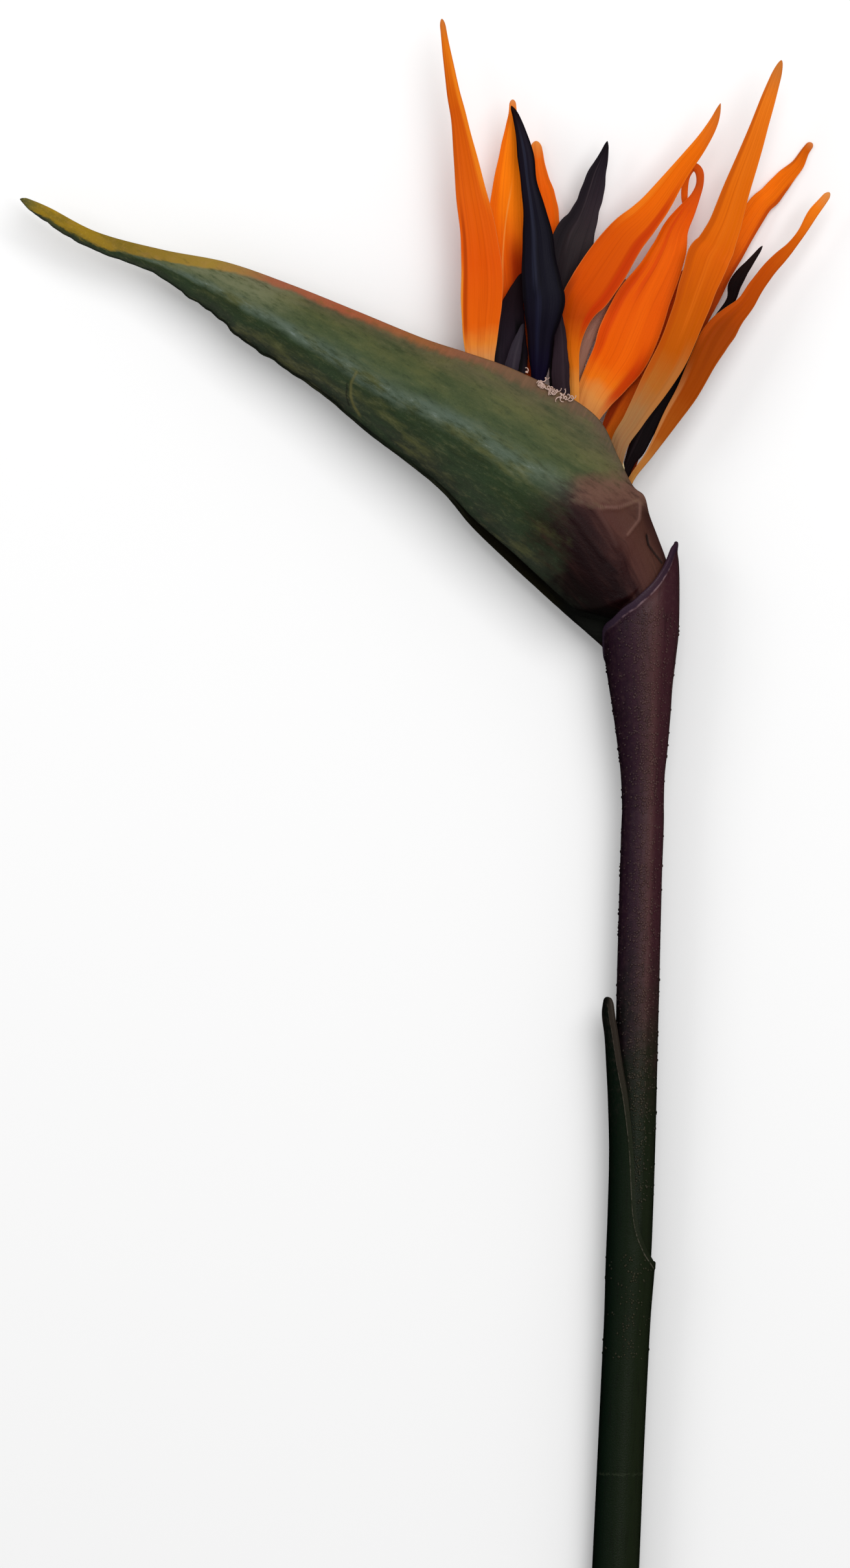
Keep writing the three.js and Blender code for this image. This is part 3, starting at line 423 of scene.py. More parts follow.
skin, _, _, point, y, tone = stem_skin("stalk_waxy_skin", 1.28, STEM_PURPLE)
waxy(skin, point, tone.coats(cut_flesh(point, y.step(CUT_Y + 0.35, CUT_Y + 0.25))))
stalk_rows = sample([[*row, row[2]] for row in STALK], np.linspace(0, 1, STALK_RINGS))
stalk = loft("stalk", *round_rings(stalk_rows, axis_height(stalk_rows[:, 1]), ribs=1))
stalk_axis = [[y, x, radius, radius] for x, y, radius in STALK[:STRAIGHT_ROWS]]
pimples(stalk, stalk_axis, count=1100, top=9, end=-92, seed=11)
dress(stalk, skin, "stalk", "scape")

# The lower sheath, a leaf base that wraps the lower stalk. Its slanted mouth has a raised, dry,
# grey-brown rim and ends on the left in a free rounded tip.
SHEATH_AXIS = [  # y, axis x, half width, half depth
    [-220.2, 48.5, 6.3, 6.3], [-186.3, 50.1, 6.2, 6.2], [-159, 51.3, 6.1, 6.1], [-133.5, 52.5, 6.1, 6.1],
    [-119.9, 53.2, 6.15, 6.15], [-107, 53.9, 6.5, 6.5], [-92.6, 54.5, 6.55, 6.55], [-77.4, 54.9, 6.6, 6.55],
    [-63.8, 55.2, 7.2, 6.9], [-53.6, 55.5, 8.0, 7.3], [-46.8, 55.6, 8.5, 7.4], [-40.8, 55.7, 9.3, 7.4],
    [-36.7, 55.8, 8.9, 7.2],
]
SHEATH_MOUTH = [  # angle from the right hand over the top, y
    [0, -106.4], [24, -106], [60, -101.2], [82, -92.6], [92, -77.4], [106, -63.8], [120, -54.8],
    [128, -47.9], [132, -43], [136, -39.6], [142, -37.7], [150, -36.9], [165, -36.8], [180, -37.5],
    [195, -38.6], [210, -40.4], [225, -43.5], [240, -49], [252, -60], [266, -77.4], [277, -92.6],
    [300, -101.2], [336, -106], [360, -106.4],
]
SHEATH_RIM, SHEATH_BAND = 0.16, 1.6  # the rim's height and breadth
RIM_CREST, RIM_SINK = 0.08, 0.1
TIP_TURN = 0.43
# The sheath's tones by the turn, darker towards the left with painted shade.
SHEATH_PURPLE = {0: (26, 30, 17), 0.5: (26, 30, 20), 0.65: (18, 25, 19), 0.8: (14, 19, 16), 1: (14, 9, 9)}
WRAP_SIDES = 144
WRAP_CROWDING = 1.6  # above 1, the rows crowd towards the mouth
LIP_ARC = 6


def round_edge(outer, inner, forward, count):
    """Points over the round edge of a wall, which stands out forward, from its outside in."""
    middle, out = (outer + inner) / 2, (outer - inner) / 2
    rise = forward * np.linalg.norm(out, axis=1)[:, None]
    bend = np.linspace(0, np.pi, count + 2)[1:-1]
    return np.stack([middle + out * np.cos(b) + rise * np.sin(b) for b in bend])


def wrap(name, axis, mouth, rim, foot_y, wall, rows, sink=0):
    """A tube round the stalk with a mouth cut aslant. rim gives how far the wall's outside and
    inside move out at a distance from the mouth, and sink draws the foot in. place is the angle
    in turns and the distance to the mouth's edge."""
    turns = 0.5 - np.arange(WRAP_SIDES) / WRAP_SIDES
    angles = turns * 2 * np.pi
    top = follow(mouth, (turns % 1) * 360)[:, 0]
    up = 1 - np.linspace(1, 0, rows) ** WRAP_CROWDING
    y = foot_y + (top - foot_y) * up[:, None]
    girth = 2 * np.pi * axis[-1][2]
    edge_turns = np.linspace(-0.6, 1.6, 20 * WRAP_SIDES)
    edge_y = follow(mouth, (edge_turns % 1) * 360)[:, 0]
    across = girth * (edge_turns - turns[:, None])
    left = np.array([np.hypot(across, edge_y - row[:, None]).min(axis=1) for row in y])
    drawn_in = sink * np.exp(-((y - foot_y) / 2) ** 2)
    rim_out, rim_in = rim(left, turns)
    outer = layer(axis, angles, y, rim_out - drawn_in)
    inner = layer(axis, angles, y, rim_in - wall - drawn_in)
    edge = round_edge(outer[-1], inner[-1], np.array([0, 1, 0]), LIP_ARC)
    rings = np.concatenate([outer, edge, inner[::-1]])
    to_mouth = np.concatenate([left, np.zeros((LIP_ARC, WRAP_SIDES)), left[::-1]])
    return loft(name, rings, (turns, to_mouth, 1), joined=True)


def sheath_rim(left, turns):
    """A flat raised band that ends short of the free tip."""
    band = 1 / (1 + np.exp((left - SHEATH_BAND) / 0.12)) * np.clip((TIP_TURN - np.abs(turns)) * 20, 0, 1)
    edge = np.exp(-(((left - SHEATH_BAND + 0.2) / 0.2) ** 2)) * band
    return SHEATH_RIM * band + RIM_CREST * edge, -RIM_SINK * band


skin, turn, left, point, y, tone = stem_skin("lower_sheath_skin", 1.22, SHEATH_PURPLE)
wear_and_sheen = point.noise(1.1, 3)
band = (left + wear_and_sheen * 0.2).step(SHEATH_BAND + 0.2, SHEATH_BAND) * abs(turn).step(TIP_TURN, TIP_TURN - 0.04)
edge_line = abs(left - (SHEATH_BAND - 0.15)).step(0.22, 0.05) * wear_and_sheen.step(0.35, 0.6) * band
ring_scar = abs(y + wear_and_sheen * 2 + 160.6).step(0.5, 0.1) * wear_and_sheen.step(0.35, 0.6)
waxy(skin, point, tone.coats(
    (band, y.step(-80, -45).ramp({0: (28, 34, 20), 1: (48, 41, 35)})),
    (edge_line * 0.6, (100, 92, 82)),
    (ring_scar * 0.3, (60, 66, 48)),
    cut_flesh(point, y.step(CUT_Y + 0.1, CUT_Y)),
))
sheath = wrap("sheath", SHEATH_AXIS, SHEATH_MOUTH, sheath_rim, foot_y=CUT_Y, wall=0.75, rows=160)
pimples(sheath, SHEATH_AXIS, count=130, top=-104, end=-132, seed=12, mouth=SHEATH_MOUTH)
dress(sheath, skin, "sheath", "lower_sheath")

# The collar, a flared purple-brown bract that holds the spathe's foot and runs down into the
# stalk's skin. Its mouth slants up to a point on the right and has a smooth rolled lip.
COLLAR_FOOT_Y, COLLAR_SINK_Y = 12.8, 8.5
COLLAR_AXIS = [
    [12.8, 57.2, 5.5, 5.5], [21.3, 57.15, 5.75, 5.7], [28, 57.15, 6.45, 6.3], [38.3, 56.9, 7.6, 7.3],
    [45, 56.6, 8.35, 7.9], [52, 56.5, 9.3, 8.7], [59.5, 56.6, 10.0, 9.3], [72.3, 56.6, 10.2, 9.5],
    [78, 56.6, 10.0, 9.2], [82.7, 56.6, 9.5, 8.8],
]
COLLAR_MOUTH = [
    [0, 82.6], [12, 82.2], [32, 80.7], [55, 75.6], [73, 71.7], [88, 69.2], [103, 66.8], [118, 65.1],
    [137, 62.5], [155, 61], [168, 59.3], [180, 53.6], [195, 52.8], [215, 53.2], [240, 57], [270, 63.7],
    [300, 71.4], [330, 78.7], [350, 82.1], [360, 82.6],
]
COLLAR_WALL = 0.9
COLLAR_ROLL, COLLAR_ROLL_LENGTH = 0.35, 1.3
DIP_DEPTH, DIP_AT, DIP_HALF = 0.1, 2.6, 1.2


def collar_rim(left, turns):
    """A lip rolled a little outward, with a shallow dip before it."""
    roll = COLLAR_ROLL * np.exp(-((left / COLLAR_ROLL_LENGTH) ** 2))
    return roll - DIP_DEPTH * np.exp(-(((left - DIP_AT) / DIP_HALF) ** 2)), 0.3 * roll


skin, turn, left, point, y, tone = stem_skin("collar_skin", 1.28, STEM_PURPLE)
wear_and_sheen = point.noise(0.5, 3)
lip = left + wear_and_sheen * 0.4
# A painted highlight along the upper part of the lip, broken up by the noise.
lip_highlight = abs(lip - 1.65).step(0.34, 0.1) * abs(y - 70).step(12, 2) * wear_and_sheen.step(0.3, 0.6)
waxy(skin, point, tone.coats((lip.step(1.7, 1.3) * 0.7, (48, 34, 50)), (lip_highlight * 0.5, (142, 116, 122))))
collar_rows = [[COLLAR_SINK_Y, *COLLAR_AXIS[0][1:]], *COLLAR_AXIS]
collar = wrap(
    "collar", collar_rows, COLLAR_MOUTH, collar_rim, COLLAR_SINK_Y, COLLAR_WALL, rows=120, sink=0.55,
)
pimples(collar, COLLAR_AXIS, count=920, top=66, end=11, seed=13, lean=-0.12, mouth=COLLAR_MOUTH)
dress(collar, skin, "collar", "collar_sheath")

# The spathe, a thick boat-shaped bract folded along its keel. It is mottled green with a blue-grey
# bloom where it bulges, partly waxy bloom and partly painted sheen, yellow and red-orange along its
# rim, and maroon-brown at its foot; painted shade darkens it below the bulge, at the foot and in the
# band under the keel.
SPATHE = [  # rim x, rim y, keel x, keel y, near belly, far belly, slit half, band share, hollow, wall
    [-106.4, 173.7, -106.2, 172.2, 0.85, 0.85, 0.2, 0.02, 0.3, 0.6],
    [-98.8, 170.5, -100.0, 167.3, 1.25, 1.25, 0.2, 0.02, 0.45, 0.7],
    [-86.0, 163.9, -88.1, 160.1, 1.7, 1.7, 0.2, 0.02, 0.5, 0.8],
    [-69.0, 159.3, -72.1, 153.9, 2.4, 2.4, 0.25, 0.02, 0.6, 0.9],
    [-52.0, 155.9, -58.3, 144.7, 3.8, 3.8, 0.3, 0.03, 0.75, 1.0],
    [-35.0, 149.9, -44.4, 133.5, 5.4, 5.8, 0.4, 0.03, 0.85, 1.1],
    [-18.0, 143.0, -29.1, 123.3, 7.0, 7.8, 0.7, 0.03, 0.9, 1.2],
    [-1.0, 136.0, -14.5, 111.2, 8.5, 9.8, 1.6, 0.03, 0.94, 1.2],
    [10.5, 132.1, -4.9, 104.0, 9.6, 11.0, 4.4, 0.03, 0.95, 1.2],
    [21.1, 128.4, 4.6, 96.1, 10.4, 11.5, 5.5, 0.03, 0.95, 1.2],
    [32.1, 123.3, 12.1, 87.2, 11.0, 11.5, 6.2, 0.045, 0.95, 1.2],
    [41.5, 117.8, 21.9, 77.7, 11.4, 11.3, 6.8, 0.06, 0.95, 1.2],
    [46.6, 112.7, 29.6, 70.6, 11.3, 11.0, 6.8, 0.06, 0.95, 1.2],
    [50.3, 104.9, 36.0, 64.8, 10.8, 10.6, 6.5, 0.065, 0.95, 1.2],
    [54.2, 97.2, 41.5, 60.0, 10.2, 10.0, 5.6, 0.075, 0.95, 1.2],
    [57.3, 94.4, 44.0, 57.8, 9.6, 9.4, 4.8, 0.085, 0.95, 1.1],
    [58.7, 89.3, 45.9, 56.1, 9.0, 8.8, 4.0, 0.09, 0.95, 1.1],
    [61.0, 83.3, 47.3, 54.7, 8.5, 8.4, 3.4, 0.09, 0.95, 1.0],
    [63.1, 77.4, 48.5, 53.2, 8.1, 8.1, 3.2, 0.09, 0.94, 1.0],
    [64.6, 70.6, 49.0, 50.2, 7.9, 7.9, 3.0, 0.08, 0.93, 1.0],
    [64.6, 57.8, 49.5, 46.8, 7.3, 7.3, 3.0, 0.06, 0.93, 1.0],
    [63.6, 48.5, 50.0, 44.7, 6.6, 6.6, 3.0, 0.04, 0.93, 0.9],
]
SPATHE_RINGS = 270
SCAR_SHARES, SCAR_RINGS = (0.285, 0.318), 30
NEAR_COLUMNS, UNDER_COLUMNS, FAR_COLUMNS, RIM_COLUMNS = 66, 14, 30, 4
BELLY_AT = 0.45
FAR_MARGIN = 0.95
BAND_EDGE, BAND_ROUND, BAND_STEP, BAND_DIP = 0.55, 0.96, 0.2, 0.12
FAR_FLATTEN, FAR_CURVE = 0.8, 2.2
HOLLOW_EASE = 0.05
MOUTH_MARGIN, MOUTH_SPREAD, MOUTH_RELEASE = 1.2, 8, 4
TUCK_CLEARANCE = 0.5
COLLAR_TOP_Y = 82
MARKS = [  # points x, y along each mark, its height, its half width and how plainly it shows, below 0 as painted shade
    ([(45.9, 91.9), (50.8, 91.9), (55.8, 93.8)], 0.5, 0.6, 0.9),
    ([(56.4, 93), (56.2, 88.8), (53, 84.7)], 0.45, 0.5, 0.9), ([(57.6, 94.4), (58, 91)], 0.5, 0.9, 0.3),
    ([(58, 84.7), (58.5, 82.1), (60.3, 79.6), (62.1, 77.4)], -0.4, 0.35, -1),
    ([(50.2, 81.8), (47.2, 88), (43.4, 93)], 0.3, 1.2, 0.3),
    ([(46.6, 79), (41, 87), (36.5, 92.5)], 0.25, 1.1, 0.15),
    ([(-17.9, 127.4), (-19.4, 124.5), (-19.5, 121), (-18.7, 118.6), (-17.2, 116.2)], 0.3, 0.45, 0.9),
    ([(-20.4, 124.5), (-20.6, 121), (-19.9, 118.6)], -0.2, 0.4, -0.6),
    ([(-1.5, 118.8), (-2.8, 114.5), (-1.6, 111.5)], 0.16, 0.7, 0.2),
    ([(7.4, 112.4), (6.4, 109), (7.6, 106.4)], 0.16, 0.6, 0.25),
    ([(24.5, 101.5), (27.5, 98), (31, 95.5)], 0.25, 0.9, 0.35),
    ([(31.4, 101), (32.6, 99), (34.2, 97)], 0.2, 0.8, 0.3),
]
SWELLS = [(0.09, -0.05, 0.3), (0.05, 0.13, 1.9), (0.17, 0.11, 4.1), (-0.12, 0.2, 2.2), (0.31, 0.19, 5.3)]
SWELL_HEIGHT = 0.1
SCALLOPS = [(2.9, 0.4, 0.5), (6.7, 1.9, 0.4), (11.3, 3.4, 0.35)]  # turns a station, start, depth
SCALLOPS_END = 0.38
SOLID_KEEL = 0.03
TIP_REACH, TIP_LEAST = 0.012, 0.01
UNDER_START, UNDER_END = 0.97, 0.05  # shares of the dark band under the keel
SWELL_START, SWELL_FADE, FULL_BELLY = 8, 12, 6
OUTSIDE, UNDER, INSIDE = 1, 0, 2


def off_middle(side, belly, share):
    """How far a flank stands off the mid-plane at a share of the way from keel to margin."""
    rise = np.clip((share - BELLY_AT) / (1 - BELLY_AT), 0, 1)
    upper = slit + wall + (belly - slit - wall) * np.cos(np.pi / 2 * rise)
    if side < 0:
        fall = np.clip(1 - share / BELLY_AT, 0, 1)
        return np.where(share >= BELLY_AT, upper, belly * (1 - FAR_FLATTEN * fall ** FAR_CURVE))
    fall = np.clip((BELLY_AT - share) / (BELLY_AT - band), 0, 1)
    edge, lowest = BAND_EDGE * belly, -BAND_DIP * belly
    bulge = edge + (belly - edge) * np.sqrt(1 - BAND_ROUND * fall ** 2)
    under = lowest + (edge + BAND_STEP * (belly - edge) - lowest) * share / band
    return np.where(share >= BELLY_AT, upper, np.where(share >= band, bulge, under))


def tuck(points, inset):
    """Draws the spathe's foot in until it clears the collar's inside."""
    flat = points.reshape(-1, 3)
    x, width, depth = follow(COLLAR_AXIS, np.clip(flat[:, 1], COLLAR_FOOT_Y, COLLAR_TOP_Y)).T
    dx, dz = flat[:, 0] - x, flat[:, 2] - MID_PLANE
    angle = np.degrees(np.arctan2(dz, dx))
    around = [follow(COLLAR_MOUTH, (angle + turn) % 360)[:, 0] for turn in (-MOUTH_SPREAD, 0, MOUTH_SPREAD)]
    above = np.maximum(0, flat[:, 1] - np.max(around, axis=0) - MOUTH_MARGIN)
    room = above * MOUTH_RELEASE - COLLAR_WALL - TUCK_CLEARANCE - inset
    reach = np.maximum(np.hypot(dx / (width + room), dz / (depth + room)), 1)
    return np.column_stack([x + dx / reach, flat[:, 1], MID_PLANE + dz / reach]).reshape(points.shape)


def distance_to(path, x, y):
    """Distance of points from a line drawn through the points of a path."""
    nearest = np.full(np.shape(x), 1e9)
    for (x0, y0), (x1, y1) in zip(path, path[1:]):
        dx, dy = x1 - x0, y1 - y0
        share = np.clip(((x - x0) * dx + (y - y0) * dy) / (dx * dx + dy * dy), 0, 1)
        nearest = np.minimum(nearest, np.hypot(x - x0 - share * dx, y - y0 - share * dy))
    return nearest


def marked(points):
    """The skin's uneven swelling, with its creases and scars, as a height at each point, and how
    plainly the creases show there."""
    x, y = points[..., 0], points[..., 1]
    height = sum(SWELL_HEIGHT * np.sin(a * x + b * y + c) for a, b, c in SWELLS)
    shown = np.zeros_like(x)
    for path, high, half, plain in MARKS:
        near = np.exp(-((distance_to(path, x, y) / half) ** 2))
        height, shown = height + high * near, shown + plain * near
    return height, shown


t = np.sort(np.concatenate([np.linspace(0, 1, SPATHE_RINGS), np.linspace(*SCAR_SHARES, SCAR_RINGS)]))
rows = sample(SPATHE, t)[:, None]
rim_xy, keel_xy = rows[..., 0:2], rows[..., 2:4]
near_belly, far_belly, slit, band, hollow, wall = np.moveaxis(rows[..., 4:], -1, 0)
hollow = np.minimum(hollow, 1 - band - SOLID_KEEL)
away = np.pad((rim_xy - keel_xy)[:, 0], [(0, 0), (0, 1)])
away /= np.linalg.norm(away, axis=1)[:, None]
lobes = sum(depth * (0.6 - np.abs(np.sin(21 * wave * t + start))) for wave, start, depth in SCALLOPS)
lobes *= np.clip(t * 9, 0, 1) * np.clip((SCALLOPS_END - t) * 6, 0.06, 1) * (0.75 + 0.45 * np.sin(31 * t + 1))
keel_xy = keel_xy + (away[:, :2] * lobes[:, None])[:, None]
tip_round = np.sqrt(np.clip(t / TIP_REACH, TIP_LEAST, 1))[:, None]
middle = (rim_xy + keel_xy) / 2
rim_xy, keel_xy = [middle + (xy - middle) * tip_round[..., None] for xy in (rim_xy, keel_xy)]


def flank(side, share, inside):
    """Points of one flank, side 1 near or -1 far, outside or inside."""
    belly = near_belly if side > 0 else far_belly
    way = 1 - hollow * (1 - share) if inside else share
    level = off_middle(side, belly, way)
    if inside:
        level = np.maximum(level - wall, np.minimum(slit, belly - wall)) * np.minimum(1, share / HOLLOW_EASE)
    xy = keel_xy + (rim_xy - keel_xy) * (way if side > 0 else way * FAR_MARGIN)[..., None]
    points = np.concatenate([xy, (MID_PLANE + side * level * tip_round)[..., None]], -1)
    if inside:
        return tuck(points, wall.ravel().repeat(share.shape[1]))
    shown = np.clip((share - band) * SWELL_START, 0, 1) * np.clip((1 - share) * SWELL_FADE, 0, 1)
    points[..., 2] += side * marked(points)[0] * shown * np.clip(near_belly / FULL_BELLY, 0, 1)
    points[..., 2] = np.maximum(points[..., 2], 0)
    return tuck(points, 0)


above_band = band + (1 - band) * np.linspace(1, 0, NEAR_COLUMNS)
near_share = np.concatenate([above_band, band * np.linspace(UNDER_START, UNDER_END, UNDER_COLUMNS)], 1)
far_share = np.broadcast_to(np.linspace(0, 1, FAR_COLUMNS), (len(t), FAR_COLUMNS))
near_outer, near_inner = flank(1, near_share, False), flank(1, near_share, True)
far_outer, far_inner = flank(-1, far_share, False), flank(-1, far_share, True)
near_arc = round_edge(near_outer[:, 0], near_inner[:, 0], away, 2 * RIM_COLUMNS - 1)[::-1].swapaxes(0, 1)
far_arc = round_edge(far_outer[:, -1], far_inner[:, -1], away, 2 * RIM_COLUMNS - 1).swapaxes(0, 1)
rings = np.concatenate([
    near_arc[:, RIM_COLUMNS - 1:], near_outer, far_outer, far_arc,
    far_inner[:, ::-1], near_inner[:, ::-1], near_arc[:, :RIM_COLUMNS - 1],
], 1)
edge = np.ones((len(t), RIM_COLUMNS))
outer_share = np.concatenate([edge, near_share, -far_share, -edge[:, 1:]], 1)
shares = np.concatenate([outer_share, outer_share[:, ::-1]], 1)
sides = np.where((outer_share > 0) & (outer_share < band * 0.99), UNDER, OUTSIDE)
sides = np.concatenate([sides, np.full(sides.shape, INSIDE)], 1)
spathe = loft("spathe_bract", rings, (shares, t[:, None], sides))
shown = marked(rings)[1] * (shares > 0) * (sides == OUTSIDE)
spathe.data.attributes.new("shown", "FLOAT", "POINT").data.foreach_set("value", shown.ravel())

SPATHE_SLOPE = (0, 0, -0.56)
STREAK_SHAPE = (3.5, 1, 1)
skin = Skin("spathe_skin", IOR=1.18)
share, along, face = skin.place()
crease = skin.node("Attribute", {"attribute_name": "shown"}, output=2)
point = skin.spot()
x, y = point.axis(0), point.axis(1)
lengthwise = skin.node("Mapping", {"vector_type": "TEXTURE"}, {0: point, 2: SPATHE_SLOPE, 3: STREAK_SHAPE})
cloud = point.noise(0.1, 3, 0.6) - 0.5
patch = lengthwise.noise(0.2, 4, 0.6)
streak = lengthwise.noise(0.75, 5, 0.7)
grain = point.noise(1.5, 4, 0.7)
veins = drawn_out(share * 34, along * 8, 5)
folds = drawn_out(share * 9, along * 5, 6)
across = drawn_out(along * 160, share * 4, 7)
patchy, streaky = patch - 0.5, streak - 0.5
broken = streak.step(0.25, 0.6)

crest = along.ramp({0.1: 0.42, 0.24: 0.47, 0.31: 0.4, 0.38: 0.46, 0.46: 0.48, 0.52: 0.55, 0.62: 0.58})
off_crest = abs(share - crest + cloud * 0.1)
crest_reach = along.step(0.06, 0.2) * along.step(0.72, 0.58) * share.step(0, 0.1)
# Along the crest of the bulge: a blue-grey bloom that is partly the skin's waxy bloom and partly painted
# sheen, with flecks of painted highlight.
bloom_and_sheen = off_crest.step(0.12, 0.0) * (streak + patch).step(0.72, 1.15) * crest_reach
sheen_fleck = off_crest.step(0.05, 0.0) * streak.step(0.58, 0.72) * crest_reach
thinning = along.step(0.35, 0.6) * 0.25
dusty = abs(along - 0.195).step(0.07, 0.02) * share.step(0.4, 0.7) * broken
# Greens from keel to rim, lighter about the crest of the bulge and darker below it, partly the skin's own
# tone and partly painted light and shade.
leaf = (abs(share) + cloud * 0.16 + streaky * 0.1).ramp({
    0: (30, 34, 28), 0.1: (44, 48, 38), 0.22: (40, 50, 32), 0.34: (36, 48, 24), 0.42: (48, 62, 38),
    0.52: (70, 82, 58), 0.62: (70, 80, 48), 0.78: (78, 82, 48), 0.9: (86, 80, 54), 1: (88, 74, 56),
}).coats(
    (patch.step(0.44, 0.7) * 0.5, (44, 62, 38)),
    (patch.step(0.52, 0.3) * 0.5, (94, 94, 52)),
    (streak.step(0.5, 0.78) * 0.34, (108, 106, 72)),
    (streak.step(0.5, 0.26) * 0.42, (26, 36, 22)),
    (grain.step(0.55, 0.8) * 0.3, (100, 104, 78)),
    (grain.step(0.45, 0.25) * 0.3, (30, 38, 26)),
    (bloom_and_sheen * (0.5 - thinning), (102, 116, 106)),
    (sheen_fleck * (0.45 - thinning), (140, 156, 158)),
    (dusty * 0.6, (116, 118, 90)),
)

foot = (x + cloud * 22 + streaky * 14).step(25, 39) * (y + cloud * 10 + streaky * 14).step(103, 91)
# The foot's maroon darkens low on the flank, partly painted shade, and folds lays painted light and shade of
# broad lengthwise flutes over it, with dark fine veins.
foot_tone = (abs(share) + (folds - 0.5) * 0.3).ramp({
    0: (14, 12, 11), 0.14: (18, 11, 10), 0.3: (22, 5, 7), 0.46: (28, 8, 10), 0.56: (40, 15, 16),
    0.68: (76, 44, 38), 0.85: (78, 47, 38), 1: (48, 24, 20),
}).coats((folds.step(0.45, 0.8) * 0.25, (90, 56, 48)), (veins.step(0.5, 0.25) * 0.25, (20, 8, 9)))
blush = abs(y + cloud * 6 - 96.5).step(6, 1) * x.step(36, 42) * broken

rim_edge = along.ramp({
    0: 0.1, 0.04: 0.22, 0.09: 0.32, 0.12: 0.42, 0.14: 0.54, 0.16: 0.7, 0.19: 0.85, 0.22: 0.93, 0.26: 0.945,
    0.42: 0.946, 0.62: 0.972, 0.7: 1,
})
near_tip = along.step(0.17, 0.08)
wander = (across - 0.5) * 0.07 + patchy * 0.12 + streaky * near_tip * 0.7
soft = near_tip * 0.06 + 0.04
rim = (abs(share) + wander - rim_edge).step(0 - soft, soft) * along.step(0.68, 0.58)
rim_tone = along.ramp({
    0: (70, 70, 40), 0.015: (92, 88, 38), 0.045: (150, 118, 12), 0.09: (142, 112, 18), 0.13: (130, 104, 32),
    0.18: (146, 118, 46), 0.205: (146, 108, 58), 0.225: (146, 84, 58), 0.28: (152, 78, 50),
    0.33: (138, 84, 44), 0.37: (128, 80, 56), 0.43: (108, 78, 56), 0.52: (96, 74, 56), 0.6: (80, 70, 54),
}).coats(
    (across.step(0.4, 0.9) * 0.2, (170, 124, 92)),
    (streak.step(0.48, 0.3) * 0.4, (96, 84, 34)),
    (patch.step(0.52, 0.36) * near_tip * 0.42, (76, 72, 22)),
    (grain.step(0.52, 0.66) * near_tip * 0.3, (168, 142, 44)),
)

# The band under the keel is painted shade, near black, greyer towards the foot with a faint painted sheen.
under = face.step(0.7, 0.25) * (along + patchy * 0.12).step(0.4, 0.49)
under_shade_tone = (share * 10 + patchy * 0.8).ramp({0: (30, 27, 13), 0.5: (18, 14, 6), 0.9: (5, 4, 3)})
leaf = leaf.coats(
    (foot, foot_tone),
    (blush * 0.75, (108, 72, 62)),
    (rim, rim_tone),
    (crease.step(0.1, 1.0) * 0.5, foot.ramp({0: (104, 98, 54), 1: (124, 90, 80)})),
    # Where a mark's plainness is below 0, painted shade darkens the crack and the side of the scar.
    (crease.step(-0.2, -0.8) * 0.8, (14, 9, 8)),
    (under, under_shade_tone.coats(((x + cloud * 10).step(31, 38), (20, 21, 18)))),
    (face.step(1.4, 1.6), (150, 130, 78)),
)
skin.paint(leaf, grain * 0.4 + veins * 0.15 + streak * 0.6, 0.25, patch * 0.3 + 0.3)
dress(spathe, skin, "spathe", "spathe")

# The sepals, soft blades with a keel and folds along their length and fine lines between. They are
# tan where they leave the spathe and bright orange above, with thin pale margins.
BLADE_ROWS, BLADE_TIP_ROWS, BLADE_COLUMNS = 104, 9, 57
BLADE_EDGE = 0.3
FULL_HALF = 3
RIDGE_REACH, RIDGE_ROUND = 0.6, 0.05
TIP_SHARE, TIP_END = 0.035, 0.03
GROOVES = [(6.3, 0.5), (10.7, 0.3), (15.1, 0.2)]  # waves across half a blade, and shares of the depth
FRAY = [(0.1, 23), (0.05, 61)]  # height and waves of the edge's unevenness
STROKE_FADE = 0.05
SEPAL_FORM = {"body": 0.8, "groove_depth": 0.03}
SEPAL_LOOK = {"line": (150, 44, 0), "lining": 0.24, "margin": (250, 170, 96), "IOR": 1.1}


